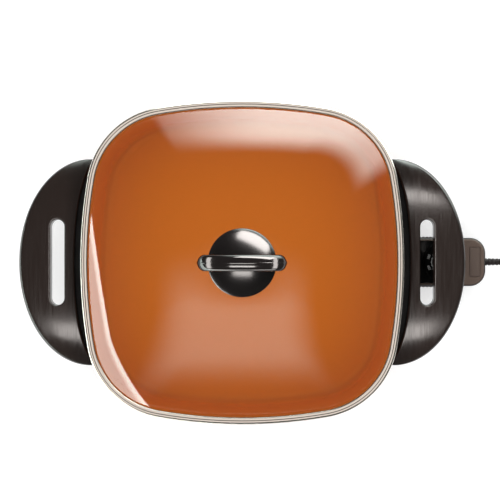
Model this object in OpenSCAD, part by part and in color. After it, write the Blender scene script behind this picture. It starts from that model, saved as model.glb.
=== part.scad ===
// Electric skillet: a bowed square cast pan carried by two plastic leg frames
// with wide grips, a lift-off domed glass lid, and a temperature control that
// plugs in under the right grip, on a short mains cord.
// Millimetres, +Z up, table at z = 0, front at -Y, control at +X.

/* [Pan] */
// Width of the cooking mouth between the middles of two sides
mouth_w = 305; // [290:1:320]
// Radius of the bowed sides at the mouth
side_r = 490; // [430:5:600]
// Radius of the corners at the mouth
corner_r = 76; // [68:1:84]
// Height of the pan's rim above the table
rim_z = 100; // [98:1:106]
// Depth from the rim to the cooking floor
pan_depth = 66; // [62:1:67]
// Thickness of the pan's side walls
wall_t = 3; // [2.5:0.25:3.5]
// Thickness of the pan's floor
floor_t = 4; // [3.5:0.25:5]
// How far the side walls lean in from mouth to floor
wall_lean = 6; // [4:0.5:8]
// Radius where the wall turns into the floor
floor_fillet = 12; // [8:1:14]
// How far the flat lip stands out from the mouth
lip_w = 6.5; // [5:0.5:7]
// Thickness of the flat lip
lip_t = 3; // [2.5:0.25:4]

/* [Heating element] */
// Outside diameter of the element's steel sheath
element_d = 7; // [6:0.25:7.5]
// Half the width of the element's square loop
element_half = 92; // [84:1:96]
// Radius of the loop's corners
element_corner_r = 40; // [30:1:50]
// Radius where the loop turns out to its terminals
element_turn_r = 16; // [12:1:20]
// Distance of each terminal from the middle line
terminal_y = 16; // [15:0.5:17]
// Diameter of a terminal pin
pin_d = 4.6; // [4:0.2:5]
// Diameter of the temperature sensor's tube
sensor_d = 7; // [6:0.25:7.5]
// Length of the sensor's tube in front of the control
sensor_len = 54; // [50:1:58]

/* [Lid] */
// How far the steel rim stands out past the mouth
rim_out = 9.5; // [9:0.25:11]
// How far the steel rim hangs down outside the pan's lip
rim_skirt = 3; // [2:0.5:4]
// Width of the steel rim seen from above
rim_w = 7.5; // [6.5:0.5:8.5]
// How far the steel rim's rounded top rises in its middle
rim_crown = 0.9; // [0.6:0.1:1.2]
// Thickness of the tempered glass
glass_t = 4; // [3:0.25:4.5]
// Height of the glass dome above its edge
dome_h = 44; // [36:1:52]
// Radius of the flat seat at the top of the dome
dome_seat_r = 31; // [29:1:36]

/* [Knob] */
// Diameter of the knob's round skirt
knob_d = 67; // [62:1:72]
// Height of the knob's round skirt
knob_h = 9; // [7:0.5:11]
// Length of the arched grip from end to end
arch_len = 87; // [80:1:94]
// Width of the arched grip
arch_w = 15.8; // [13:0.2:18]
// Thickness of the arched grip
arch_t = 7; // [6:0.5:8]
// Height of the arched grip's top above the glass
arch_h = 36; // [33:1:42]

/* [Handles] */
// Distance from the pan's centre to the outer edge of a handle
handle_reach = 224.5; // [220:0.5:232]
// Half the length of a handle
handle_half_len = 104.5; // [101:0.5:108]
// Distance from the pan's centre to the middle of a handle's oval
handle_oval_x = 154; // [150:1:158]
// Height of a handle's top above the table
handle_top_z = 93; // [91:1:95]
// Thickness of a handle at its middle
handle_t = 16; // [14:1:17]
// How far a handle's top drops at its ends
handle_drop = 14; // [10:0.5:16]
// Radius of a handle's rolled outer edge
handle_edge_r = 6; // [4:0.5:7]
// Distance from the mouth to a handle's inner edge
handle_gap = 15.5; // [14:0.5:17]
// How far a handle's ends tuck in under the lid's rim
handle_tuck = 7; // [5:0.5:8]
// Thickness of a handle's moulded walls
handle_wall = 3; // [2.5:0.25:3.5]
// Width of the slot in a handle
slot_w = 14.2; // [12:0.2:15]
// Length of the slot in a handle
slot_len = 86; // [76:1:92]
// Distance from the pan's centre to the middle of a slot
slot_x = 186; // [184:0.5:189]

/* [Leg frames] */
// Thickness of a leg frame's moulded walls
base_t = 3; // [2.5:0.25:3.5]
// Distance from the mouth outline to a leg frame's wall
base_gap = 5; // [4.5:0.25:6]
// Height of the gap under a leg frame's wall
arch_z = 22; // [19:1:24]
// Distance from the middle line to the middle of a leg
leg_y = 76; // [73:1:78]
// Width of a leg at the top
leg_w = 32; // [28:1:34]
// Diameter of a rubber foot
foot_d = 13; // [11:0.5:15]
// Height of a rubber foot under its leg
foot_h = 3; // [2.5:0.25:4]

/* [Temperature control] */
// Distance from the pan's centre to the control's outer end
control_end = 251; // [247:1:256]
// Distance from the pan's centre to the control's inner face
control_face = 166; // [164:0.5:168]
// Width of the control's housing
control_w = 50; // [47:1:52]
// Height of the control's underside above the table
control_z = 11; // [10:0.5:12.5]
// Height of the control's housing
control_h = 34; // [32:1:36]
// Radius of the control's outer corners
control_corner_r = 16; // [12:1:20]
// Radius of the control's rolled top and bottom edges
control_edge_r = 3.5; // [2.5:0.5:4]
// Thickness of the control's shells
control_t = 2.2; // [1.8:0.2:2.6]
// Diameter of the temperature dial
dial_d = 42; // [38:1:44]
// Height of the temperature dial
dial_h = 8; // [7:0.5:9]
// Distance from the pan's centre to the dial's axis
dial_x = 206; // [204:0.5:208]
// Diameter of the dial's shaft
shaft_d = 6; // [5:0.5:7]

/* [Cord] */
// Diameter of the mains cord
cord_d = 6; // [5.6:0.2:6.4]
// Length of the strain relief outside the control
relief_len = 22; // [20:1:26]
// Thickness of the plug's body
plug_t = 15; // [13:1:17]

/* [Hidden] */
$fn = 72;

// Clearances
slip = 0.4;        // between pieces that slide past each other
seat = 0.1;        // between pieces that are pressed or screwed together
lid_lift = 0.3;    // between the lid's rim and the pan's lip
run = 0.05;        // around a turning shaft
over = 1;          // how far a cut runs past the face it opens
sink = 0.5;        // how far a raised form runs into the floor it stands on

// The whole stands over the origin, so the pan's centre sits beside it
body_x = (handle_reach - control_end) / 2;

// Mouth outline: four side arcs and four corner arcs, tangent to each other
mouth_half = mouth_w / 2;
side_x = mouth_half - side_r;
arc_step = side_r - corner_r;
corner_c = (side_x + sqrt(2 * pow(arc_step, 2) - pow(side_x, 2))) / 2;
side_angle = asin(corner_c / arc_step);
side_fn = 360;

// Pan
floor_z = rim_z - pan_depth;
under_z = floor_z - floor_t;
lean_angle = atan(wall_lean / pan_depth);

// Element, terminals and sensor share one height and one block
element_z = under_z - element_d / 2;
ridge_w = element_d + 8;
ridge_h = element_d - 1.5;
block_x0 = mouth_half - 24;
block_x1 = mouth_half - 8;
block_y = terminal_y + 8;
block_z = element_z - element_d / 2 - 4;
block_h = under_z - block_z + 2.5;
sensor_block = 30;
pin_end = control_face + 14;
bead_d = element_d + 2.5;
bead_in = 5;
bead_out = 3;
guard_t = 1.2;
guard_y = block_y + 1.5;
guard_x1 = mouth_half + 10;
guard_top = under_z + 7;
guard_screw_y = terminal_y / 2;
guard_screw_x = block_x0 + 7;

// Fasteners
screw_d = 3.4;
screw_head_d = 7;
screw_head_h = 2.4;
small_screw_d = 2.8;
small_head_d = 5.6;
small_head_h = 1.8;
guard_screw_len = 6;
pan_screw_x = mouth_half - 34;
pan_boss_h = 4;
pan_boss_d = 14;

// Handle stations run from tip to tip, closer together near the tips
station_n = 28;
station_max = 86;
handle_y = [for (i = [0 : station_n]) handle_half_len * sin(station_max * (2 * i / station_n - 1))];
handle_crown = 1.6;
seam = 0.2;
collar_t = 2.4;
collar_drop = 4;

// Leg frame
leg_out = 27;
foot_w = 21;
arm_w = 18;
arm_z = under_z - pan_boss_h - base_t;
handle_screw_y = 60;
handle_screw_x = handle_oval_x + 38;

// Lid
lid_z = rim_z + lid_lift;
rim_sheet = 0.9;
glass_z = lid_z + rim_sheet;
glass_out = rim_out - rim_sheet - slip;
glass_in = rim_out - rim_w - 1;
rim_top = glass_z + glass_t + seat + rim_sheet;
seat_z = glass_z + glass_t + dome_h;
knob_gap = 1;
knob_z = seat_z + knob_gap;
knob_screw_d = 5;

// Control
split_z = control_z + control_h / 2;
control_top_z = control_z + control_h;
dial_z = control_top_z + 0.5;
rib_pitch = 3.8;
rib_n = 6;
rib_out = 1.25;
rib_x = control_face + 18;
window_w = 11.5;
window_len = 31;
window_t = 0.9;
window_x = control_end - 17;
lamp_d = 3;
lamp_h = 5;
post_d = 6.4;
control_screw_x = [control_face + 32, control_end - 12];
control_screw_y = control_w / 2 - 8;
control_screw_in = 2.6;
insulator_x = control_face + control_t + 2;
insulator_len = 12;
insulator_y = control_w / 2 - control_t - 3;
socket_len = pin_end - insulator_x + 3;
socket_d = pin_d + 2 * slip + 1.4;
spring_t = 0.6;
spring_h = 4;
spring_len = 9;
bimetal_w = 3;
bimetal_t = 0.8;
bimetal_in = 12;
cord_z = control_z + 13.5;
relief_d0 = cord_d + 1.6;
relief_d1 = cord_d + 0.6;

// Cord: from the strain relief down to the top turn of the coil, and from the
// coil's outer turn to the plug; places count from the tip of the strain relief
cord_sides = 10;
relief_end = control_end + relief_len;
coil_r = 33;
coil_dx = 51;
coil_dy = -33;
coil_band = 5;
coil_top_z = 8.8;
lead_route = [[0, 0, cord_z], [5, 0, cord_z], [10, 0, 24.5], [15, 0, 24.1], [20, 0, 23], [24.5, 0, 21.5],
              [28.5, 0, 19.2], [32.5, 0, 16.5], [36.5, 0, 13.7], [41, 0, 11.3], [45, 0, 9.8], [49, 0, 9],
              [51, 0, coil_top_z]];
tail_route = [[15, -33, 3], [15, -24, 3], [15, -14, 3], [15, -4, 3.2], [15, 4, 4.2], [15, 10, 6],
              [15, 15, 7.2], [15, 19, 7.5], [15, 22, 7.5]];

// Two-blade plug
plug_len = 34;
blade_pitch = 12.7;
blade_w = 6.3;
blade_t = 1.5;
blade_len = 17;
blade_hole_d = 3;
blade_hole_in = 3.5;

// ---------- shared shapes ----------

module place() { translate([body_x, 0, 0]) children(); }

module both_y() { children(); mirror([0, 1, 0]) children(); }

// Sweeps a profile along the +X side's arc; its x counts outwards from the mouth
module along_side() {
    translate([side_x, 0, 0]) rotate_extrude(angle = 2 * side_angle, start = -side_angle, $fn = side_fn)
        translate([side_r, 0]) children();
}

// Where the mouth outline, moved out by o, crosses the line at y on the +X side
function outline_x(y, o) = abs(y) < (side_r + o) * sin(side_angle)
    ? side_x + sqrt(pow(side_r + o, 2) - y * y)
    : corner_c + sqrt(pow(corner_r + o, 2) - pow(abs(y) - corner_c, 2));

// Points round the mouth outline, moved out by o
side_steps = 5;
corner_steps = 8;
function quarter(o) = concat(
    [for (i = [0 : side_steps - 1]) let (a = side_angle * (2 * i / side_steps - 1))
        [side_x + (side_r + o) * cos(a), (side_r + o) * sin(a)]],
    [for (i = [0 : corner_steps - 1]) let (a = side_angle + (90 - 2 * side_angle) * i / corner_steps)
        [corner_c + (corner_r + o) * cos(a), corner_c + (corner_r + o) * sin(a)]]);
function outline(o) = [for (i = [0 : 3]) for (p = quarter(o))
    [p.x * cos(90 * i) - p.y * sin(90 * i), p.x * sin(90 * i) + p.y * cos(90 * i)]];

function reversed(list) = [for (i = [len(list) - 1 : -1 : 0]) list[i]];

// Joins a row of closed rings with the same number of points into one solid;
// a hollow ring's two ends are closed by several faces, given as point numbers
module skin(rings, ends = []) {
    n = len(rings[0]);
    m = len(rings);
    sides = [for (j = [0 : m - 2]) for (i = [0 : n - 1])
        let (a = j * n + i, b = j * n + (i + 1) % n) each [[a, b, a + n], [b, b + n, a + n]]];
    caps = len(ends) > 0 ? ends : [[for (i = [0 : n - 1]) i]];
    first = [for (c = caps) reversed(c)];
    last = [for (c = caps) [for (k = c) (m - 1) * n + k]];
    polyhedron(points = [for (r = rings) each r], faces = concat(first, sides, last), convexity = 6);
}

// A level ring round the mouth outline, moved out by o, at a height
function level(o, z) = [for (p = outline(o)) [p.x, p.y, z]];

// Sweeps a closed profile of outward offsets and heights all round the outline
module around(profile) {
    rings = [for (q = profile) level(q.x, q.y)];
    n = len(rings[0]);
    m = len(rings);
    faces = [for (j = [0 : m - 1]) for (i = [0 : n - 1])
        let (k = (i + 1) % n, up = (j + 1) % m * n, a = j * n + i, b = j * n + k, c = up + i, d = up + k)
        each [[a, b, c], [b, d, c]]];
    polyhedron(points = [for (r = rings) each r], faces = faces, convexity = 6);
}

// The arc where a floor turns into a wall that leans out by the given angle,
// from the floor side to the wall side, as offsets and heights
function fillet_arc(corner, angle, r, steps) =
    let (t = r * tan((90 - angle) / 2), centre = corner + [-t, r])
    [for (i = [0 : steps]) let (a = -90 + (90 - angle) * i / steps) centre + r * [cos(a), sin(a)]];

module slot_shape(grow) {
    w = slot_w + 2 * grow;
    square([w, slot_len - slot_w], center = true);
    for (s = [-1, 1]) translate([0, s * (slot_len - slot_w) / 2]) circle(d = w);
}

module slot_prism(grow, z0, z1) {
    translate([slot_x, 0, z0]) linear_extrude(z1 - z0) slot_shape(grow);
}

// A screw that points up, with its head's underside at the origin
module screw(d, head_d, head_h, length) {
    cylinder(d = d - 2 * seat, h = length);
    translate([0, 0, -head_h]) difference() {
        cylinder(d = head_d, h = head_h);
        for (a = [0, 90]) rotate([0, 0, a])
            translate([-head_d / 3, -0.5, -over]) cube([head_d / 1.5, 1, over + head_h / 2]);
    }
}

// ---------- pan ----------

// The bowl as one loft, from the middle of its underside, up the outside, over
// the lip and down the inside to the floor
module bowl() {
    wall_out = wall_t / cos(lean_angle);
    low = [-wall_lean - floor_t * tan(lean_angle) + wall_out, under_z];
    skin(reversed(concat(
        [for (p = fillet_arc(low, lean_angle, floor_fillet + wall_t, 4)) level(p.x, p.y)],
        [level(wall_out - lip_t * tan(lean_angle), rim_z - lip_t),
         level(lip_w - lip_t / 3, rim_z - lip_t),
         level(lip_w, rim_z - lip_t * 2 / 3),
         level(lip_w, rim_z - lip_t / 3),
         level(lip_w - lip_t / 3, rim_z),
         level(0.6, rim_z),
         level(0, rim_z - 0.8)],
        [for (i = [5 : -1 : 0]) let (p = fillet_arc([-wall_lean, floor_z], lean_angle, floor_fillet, 5)[i])
            level(p.x, p.y)])));
}

// Sweeps a profile round the element's loop and out along both leads; the
// profile's x counts across the sheath
module along_element(lead_end) {
    straight = element_half - element_corner_r;
    turn_y = terminal_y + element_turn_r;
    for (a = [90, 180, 270]) rotate([0, 0, a])
        translate([element_half, straight, 0]) rotate([90, 0, 0]) linear_extrude(2 * straight) children();
    for (i = [0 : 3]) rotate([0, 0, 90 * i]) translate([straight, straight, 0])
        rotate_extrude(angle = 90, $fn = 96) translate([element_corner_r, 0]) children();
    both_y() {
        translate([element_half, straight, 0]) rotate([90, 0, 0])
            linear_extrude(straight - turn_y) children();
        translate([element_half + element_turn_r, turn_y, 0]) rotate([0, 0, 180])
            rotate_extrude(angle = 90, $fn = 96) translate([element_turn_r, 0]) children();
        translate([element_half + element_turn_r, terminal_y, 0]) rotate([90, 0, 90])
            linear_extrude(lead_end - element_half - element_turn_r) children();
    }
}

// Repeats a shape at the four places where the leg frames are screwed on
module at_pan_bosses() {
    for (sx = [-1, 1]) both_y() translate([sx * pan_screw_x, leg_y, 0]) children();
}

module pan() {
    color([0.62, 0.31, 0.15]) place() difference() {
        union() {
            bowl();
            along_element(block_x0 + over)
                translate([-ridge_w / 2, under_z - ridge_h]) square([ridge_w, ridge_h + sink]);
            translate([block_x0, -block_y, block_z])
                cube([block_x1 - block_x0, 2 * block_y, block_h]);
            translate([block_x0 - sensor_block, -sensor_d, block_z])
                cube([sensor_block + over, 2 * sensor_d, under_z - block_z + sink]);
            at_pan_bosses() translate([0, 0, under_z - pan_boss_h])
                cylinder(d = pan_boss_d, h = pan_boss_h + sink);
        }
        along_element(block_x1 + over) translate([0, element_z]) circle(d = element_d + 2 * seat, $fn = 32);
        both_y() translate([block_x1 - bead_in, terminal_y, element_z]) rotate([0, 90, 0])
            cylinder(d = bead_d + 2 * seat, h = bead_in + over);
        translate([control_face - sensor_len - 2, 0, element_z]) rotate([0, 90, 0])
            cylinder(d = sensor_d + 2 * slip, h = block_x1 - control_face + sensor_len + 2 + over);
        at_pan_bosses() translate([0, 0, under_z - pan_boss_h - over])
            cylinder(d = screw_d, h = pan_boss_h + over + 1.5);
        both_y() translate([guard_screw_x, guard_screw_y, block_z - over])
            cylinder(d = small_screw_d, h = guard_screw_len + over);
    }
}

module heating_element() {
    color([0.5, 0.5, 0.5]) place() along_element(block_x1 - bead_in - seat)
        translate([0, element_z]) circle(d = element_d, $fn = 32);
}

module terminal_pins() {
    color([0.75, 0.75, 0.72]) place() both_y() translate([block_x1 - bead_in, terminal_y, element_z])
        rotate([0, 90, 0]) {
            cylinder(d = pin_d, h = pin_end - block_x1 + bead_in - pin_d / 2);
            translate([0, 0, pin_end - block_x1 + bead_in - pin_d / 2]) sphere(d = pin_d, $fn = 32);
        }
}

module terminal_beads() {
    color([0.92, 0.9, 0.84]) place() both_y() translate([block_x1 - bead_in + seat, terminal_y, element_z])
        rotate([0, 90, 0]) difference() {
            cylinder(d = bead_d, h = bead_in + bead_out - seat);
            translate([0, 0, -over]) cylinder(d = pin_d + 2 * seat, h = bead_in + bead_out + 2 * over);
        }
}

// A bent sheet tunnel round the terminals, on two flanges under the block
module terminal_guard() {
    tunnel_x0 = block_x1 + bead_out + 1;
    low = block_z - guard_t;
    color([0.6, 0.6, 0.6]) place() difference() {
        union() {
            translate([block_x0 + 2, -guard_y, low]) cube([tunnel_x0 - block_x0, 2 * guard_y, guard_t]);
            difference() {
                translate([tunnel_x0, -guard_y, low])
                    cube([guard_x1 - tunnel_x0, 2 * guard_y, guard_top - low]);
                translate([tunnel_x0 - over, guard_t - guard_y, block_z])
                    cube([guard_x1 - tunnel_x0 + 2 * over,
                          2 * (guard_y - guard_t), guard_top - guard_t - block_z]);
            }
            both_y() translate([block_x0 + 2, guard_y - guard_t, low])
                cube([tunnel_x0 - block_x0, guard_t, under_z - 1 - low]);
        }
        both_y() translate([guard_screw_x, guard_screw_y, low - over])
            cylinder(d = screw_d, h = guard_t + 2 * over);
    }
}

module guard_screws() {
    color([0.7, 0.7, 0.7]) place() both_y()
        translate([guard_screw_x, guard_screw_y, block_z - guard_t])
            screw(small_screw_d, small_head_d, small_head_h, guard_screw_len);
}

// ---------- handles ----------

function near(y) = pow(y / handle_half_len, 2);
function handle_x0(y) = outline_x(y, handle_gap - handle_tuck * pow(near(y), 2));
function handle_x1(y) = handle_oval_x + (handle_reach - handle_oval_x) * sqrt(1 - near(y));
function handle_top(y) = handle_top_z - handle_drop * pow(near(y), 2);
function handle_under(y) = handle_top(y) - handle_t * (1 - 0.25 * near(y));

// One section of the hollow grip, as x and z points round its channel
function grip_section(y) =
    let (x0 = handle_x0(y), x1 = handle_x1(y), w = x1 - x0, top = handle_top(y), low = handle_under(y),
         r = min(handle_edge_r, w / 3), q = min(2.2, w / 6), wall = min(handle_wall, w / 4),
         crown = handle_crown * min(1, w / 40), rise = [0.25, 0.5, 0.75])
    concat(
        [[x0, low]],
        [for (a = [180 : -30 : 90]) [x0 + q + q * cos(a), top - q + q * sin(a)]],
        [for (f = rise) [x0 + q + f * (w - q - r), top + crown * sin(180 * f)]],
        [for (a = [90 : -18 : 0]) [x1 - r + r * cos(a), top - r + r * sin(a)]],
        [[x1, low], [x1 - wall, low], [x1 - wall, top - r], [x1 - max(r, wall), top - wall],
         [x0 + wall, top - wall], [x0 + wall, low]]);

// The grip's ends, as its inner wall, its top, its rolled edge and its outer wall
grip_ends = [[0, 1, 18, 19], [1, 2, 3, 4, 5, 6, 7, 8, 17, 18],
             [8, 9, 10, 11, 12, 13, 16, 17], [13, 14, 15, 16]];

module grip() {
    boss_z = handle_under(handle_screw_y);
    difference() {
        union() {
            skin([for (i = [station_n : -1 : 0])
                [for (p = grip_section(handle_y[i])) [p.x, handle_y[i], p.y]]], grip_ends);
            slot_prism(collar_t, handle_under(0) - collar_drop,
                       handle_top(slot_len / 2) - handle_wall / 2);
            both_y() translate([handle_screw_x, handle_screw_y, boss_z])
                cylinder(d = screw_d + 5, h = handle_top(handle_screw_y) - boss_z - handle_wall / 2);
        }
        slot_prism(0, handle_under(0) - collar_drop - over, handle_top_z + 2 * handle_crown);
        both_y() translate([handle_screw_x, handle_screw_y, boss_z - over])
            cylinder(d = screw_d, h = handle_t / 2 + over);
    }
}

module left_handle() { color([0.13, 0.11, 0.11]) place() mirror([1, 0, 0]) grip(); }

module right_handle() { color([0.13, 0.11, 0.11]) place() grip(); }

// ---------- leg frames ----------

leg_x = outline_x(leg_y, base_gap);
foot_x = leg_x + 8;
shelf_z = handle_under(0) - seam - 0.8 * base_t;

// The shelf that closes the grip from below, from the middle of the wall out
function shelf_section(y) =
    let (x0 = outline_x(y, base_gap + base_t / 2), x1 = handle_x1(y),
         top = handle_under(y) - seam, low = top - base_t)
    [[x0, low], [x0, top], [x1, top], [x1, low]];

// A leg's top slants with the shelf and ends inside it, and the leg narrows
// towards its foot; its hollow is shifted so that it opens towards the pan
module leg_form(in, shift, z0) {
    hull() {
        for (y = [leg_y - leg_w / 2 + in + 1, leg_y + leg_w / 2 - in])
            translate([leg_x + in - shift, y - 1, handle_under(y) - seam - base_t / 2 - 1])
                cube([leg_out - 2 * in, 1, 1]);
        translate([foot_x, leg_y, z0]) cylinder(r = foot_w / 2 - in, h = 1, $fn = 32);
    }
}

module leg_frame(with_control) {
    color([0.1, 0.09, 0.09]) difference() {
        union() {
            skin([for (i = [station_n : -1 : 0])
                [for (p = shelf_section(handle_y[i])) [p.x, handle_y[i], p.y]]]);
            along_side() translate([base_gap, arch_z]) square([base_t, shelf_z - arch_z]);
            both_y() difference() {
                leg_form(0, 0, foot_h);
                leg_form(base_t, 2 * base_t, foot_h + base_t);
            }
            both_y() {
                translate([pan_screw_x, leg_y - arm_w / 2, arm_z])
                    cube([leg_x + 2 * base_t - pan_screw_x, arm_w, base_t]);
                translate([pan_screw_x, leg_y, arm_z]) cylinder(d = arm_w, h = base_t);
            }
        }
        slot_prism(collar_t + slip, shelf_z - 3 * base_t, handle_top_z);
        both_y() {
            translate([pan_screw_x, leg_y, arm_z - over])
                cylinder(d = screw_d + seat, h = base_t + 2 * over);
            translate([handle_screw_x, handle_screw_y, shelf_z - 3 * base_t])
                cylinder(d = screw_d + seat, h = 6 * base_t);
            translate([foot_x, leg_y, foot_h - over])
                cylinder(d = foot_d / 2 + 2 * seat, h = base_t + 2 * over);
        }
        if (with_control) translate([mouth_half, -guard_y - 1, arch_z - over])
            cube([base_gap + base_t + 10, 2 * (guard_y + 1), guard_top + 1 - arch_z + over]);
    }
}

module left_leg_frame() { place() mirror([1, 0, 0]) leg_frame(false); }

module right_leg_frame() { place() leg_frame(true); }

module pan_screws() {
    color([0.7, 0.7, 0.7]) place() at_pan_bosses() translate([0, 0, arm_z])
        screw(screw_d, screw_head_d, screw_head_h, base_t + pan_boss_h);
}

module handle_screws() {
    z = handle_under(handle_screw_y + screw_head_d / 2) - seam - base_t - seat;
    color([0.7, 0.7, 0.7]) place() for (sx = [-1, 1]) both_y()
        translate([sx * handle_screw_x, handle_screw_y, z])
            screw(screw_d, screw_head_d, screw_head_h, base_t + handle_t / 2 - over);
}

module foot(sx, sy) {
    color([0.12, 0.12, 0.12]) place() translate([sx * foot_x, sy * leg_y, 0]) {
        cylinder(d1 = foot_d - 2, d2 = foot_d, h = 1);
        translate([0, 0, 1]) cylinder(d = foot_d, h = foot_h - 1);
        cylinder(d = foot_d / 2, h = foot_h + base_t);
        translate([0, 0, foot_h + base_t]) cylinder(d1 = foot_d / 2 + 1.5, d2 = foot_d / 2 - 1, h = 2);
    }
}

module foot_front_left() { foot(-1, -1); }

module foot_front_right() { foot(1, -1); }

module foot_rear_left() { foot(-1, 1); }

module foot_rear_right() { foot(1, 1); }

// ---------- lid ----------

dome_steps = 7;
// The dome's plan changes from the bowed square into a circle as it rises
function dome_ring(s, z) = [for (p = outline(glass_in))
    let (k = 1 - s + s * dome_seat_r / norm(p)) [p.x * k, p.y * k, z + dome_h * (1 - pow(1 - s, 2.2))]];

module lid_glass() {
    low = glass_z;
    high = glass_z + glass_t;
    color([0.85, 0.9, 0.9, 0.35]) place() difference() {
        skin(concat([for (k = [dome_steps : -1 : 0]) dome_ring(k / dome_steps, high)],
                    [level(glass_out, high)],
                    [level(glass_out, low)],
                    [for (k = [0 : dome_steps]) dome_ring(k / dome_steps, low)]));
        translate([0, 0, low]) cylinder(d = knob_screw_d + 2 * slip, h = dome_h + 2 * glass_t);
    }
}

// Rolled steel channel that holds the glass and overhangs the pan's lip
module lid_rim() {
    inner = rim_out - rim_w;
    out_in = rim_out - rim_sheet;
    skirt = rim_z - rim_skirt;
    color([0.8, 0.8, 0.8]) place() around([
        [out_in, skirt], [out_in, lid_z], [inner, lid_z], [inner, lid_z + rim_sheet],
        [out_in, lid_z + rim_sheet], [out_in, rim_top - rim_sheet], [inner, rim_top - rim_sheet],
        [inner, rim_top - 0.3], [inner + 0.3, rim_top],
        [inner + 0.25 * rim_w, rim_top + 0.75 * rim_crown],
        [inner + 0.48 * rim_w, rim_top + rim_crown],
        [inner + 0.7 * rim_w, rim_top + 0.75 * rim_crown],
        [rim_out - 1, rim_top], [rim_out - 0.2, rim_top - 0.9],
        [rim_out, rim_top - 1.8], [rim_out, skirt]]);
}

// ---------- knob ----------

arch_a = (arch_len - arch_t) / 2;
arch_low = 17;
arch_b = arch_h - knob_gap - arch_t / 2 - arch_low;
arch_end = 58;
arch_steps = 26;

// Half-width of the arch's plan, with round ends
function arch_half_w(x) = let (r = arch_w / 2, e = max(0, abs(x) - arch_len / 2 + r))
    r * sqrt(max(0.06, 1 - pow(e / r, 2)));
function signed_pow(v, e) = sign(v) * pow(abs(v), e);
function arch_ring(t) =
    let (n = [arch_b * cos(t), arch_a * sin(t)], u = n / norm(n))
    [for (a = [0 : 20 : 340])
        let (h = arch_t / 2 * signed_pow(sin(a), 0.7), x = arch_a * cos(t) + h * u.x,
             z = arch_low + arch_b * sin(t) + h * u.y)
        [x, arch_half_w(x) * signed_pow(cos(a), 0.7), z]];

module knob() {
    round_r = (pow(knob_d / 2, 2) + pow(knob_h - 2, 2)) / (2 * (knob_h - 2));
    color([0.06, 0.06, 0.06]) place() translate([0, 0, knob_z]) difference() {
        union() {
            rotate_extrude($fn = 120) intersection() {
                translate([0, knob_h - round_r]) circle(round_r, $fn = 360);
                square([knob_d / 2, knob_h]);
            }
            skin([for (i = [0 : arch_steps])
                arch_ring(-arch_end + (180 + 2 * arch_end) * i / arch_steps)]);
        }
        translate([0, 0, -over]) cylinder(d = knob_screw_d - 1, h = knob_h);
        translate([0, 0, -20]) cylinder(d = knob_d + 2, h = 20);
    }
}

module knob_screw() {
    head_z = seat_z - glass_t - knob_gap;
    color([0.75, 0.75, 0.75]) place() translate([0, 0, head_z]) {
        screw(knob_screw_d, 12, 2.6, glass_t + 2 * knob_gap);
        cylinder(d = knob_screw_d - 1 - 2 * seat, h = glass_t + 2 * knob_gap + knob_h - 2 * over);
    }
}

module knob_washer() {
    color([0.3, 0.3, 0.3]) place() for (z = [seat_z, seat_z - glass_t - knob_gap])
        translate([0, 0, z + seat]) difference() {
            cylinder(d = 24, h = knob_gap - 2 * seat);
            translate([0, 0, -over]) cylinder(d = knob_screw_d + seat, h = knob_gap + 2 * over);
        }
}

// ---------- temperature control ----------

// Plan of the housing, drawn in by an amount all round, at a height
function control_corner(x, y, r, a0, z) =
    [for (a = [a0 : 15 : a0 + 90]) [x + r * cos(a), y + r * sin(a), z]];
function control_ring(in, z) =
    let (q = 4, r = control_corner_r, w = control_w / 2, rr = max(1, r - in), qq = max(1, q - in),
         x1 = control_end - in - rr, x0 = control_face + in + qq, y1 = w - in - rr, y0 = w - in - qq)
    concat(control_corner(x1, y1, rr, 0, z), control_corner(x0, y0, qq, 90, z),
           control_corner(x0, -y0, qq, 180, z), control_corner(x1, -y1, rr, 270, z));

// A closed housing with rolled top and bottom edges, drawn in by an amount
module control_form(in) {
    r = max(1, control_edge_r - in);
    turn = [0 : 22.5 : 90];
    skin(reversed(concat(
        [for (a = turn) control_ring(in + r - r * sin(a), control_z + in + r - r * cos(a))],
        [for (a = turn) control_ring(in + r - r * cos(a), control_top_z - in - r + r * sin(a))])));
}

module control_shell() {
    difference() {
        union() {
            control_form(0);
            for (s = [-1, 1]) for (i = [0 : rib_n - 1])
                translate([rib_x + i * rib_pitch, s * (control_w / 2 - 0.4), control_z + 6])
                    cylinder(r = rib_out + 0.4, h = control_h - 12, $fn = 24);
        }
        control_form(control_t);
        both_y() translate([control_face - over, terminal_y, element_z]) rotate([0, 90, 0])
            cylinder(d = pin_d + 4, h = control_t + 2 * over);
        translate([control_face - over, 0, element_z]) rotate([0, 90, 0])
            cylinder(d = sensor_d + 2 * seat, h = control_t + 2 * over);
        translate([control_end - control_t - over, 0, cord_z]) rotate([0, 90, 0])
            cylinder(d = relief_d0 + 2 * seat, h = control_t + 2 * over);
    }
}

module keep(z0, z1) {
    intersection() {
        children();
        translate([control_face - over, -control_w, z0])
            cube([control_end - control_face + 2 * over, 2 * control_w, z1 - z0]);
    }
}

// Repeats a shape at the control's four screws
module at_control_screws() {
    for (x = control_screw_x) both_y() translate([x, control_screw_y, 0]) children();
}

module control_top() {
    color([0.24, 0.21, 0.2]) place() difference() {
        union() {
            keep(split_z + seam, control_top_z + over) control_shell();
            at_control_screws() translate([0, 0, split_z + seam])
                cylinder(d = post_d, h = control_h / 2 - seam - control_t / 2);
        }
        at_control_screws() translate([0, 0, split_z - over])
            cylinder(d = small_screw_d, h = control_h / 3 + over);
        translate([dial_x, 0, control_top_z - 2 * control_t])
            cylinder(d = shaft_d + 2 * run, h = 3 * control_t);
        translate([window_x, -window_len / 2, control_top_z - window_t])
            cube([window_w, window_len, window_t + over]);
        translate([window_x + window_w / 2, 0, control_top_z - 2 * control_t])
            cylinder(d = lamp_d + 2 * seat, h = 2 * control_t);
    }
}

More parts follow.
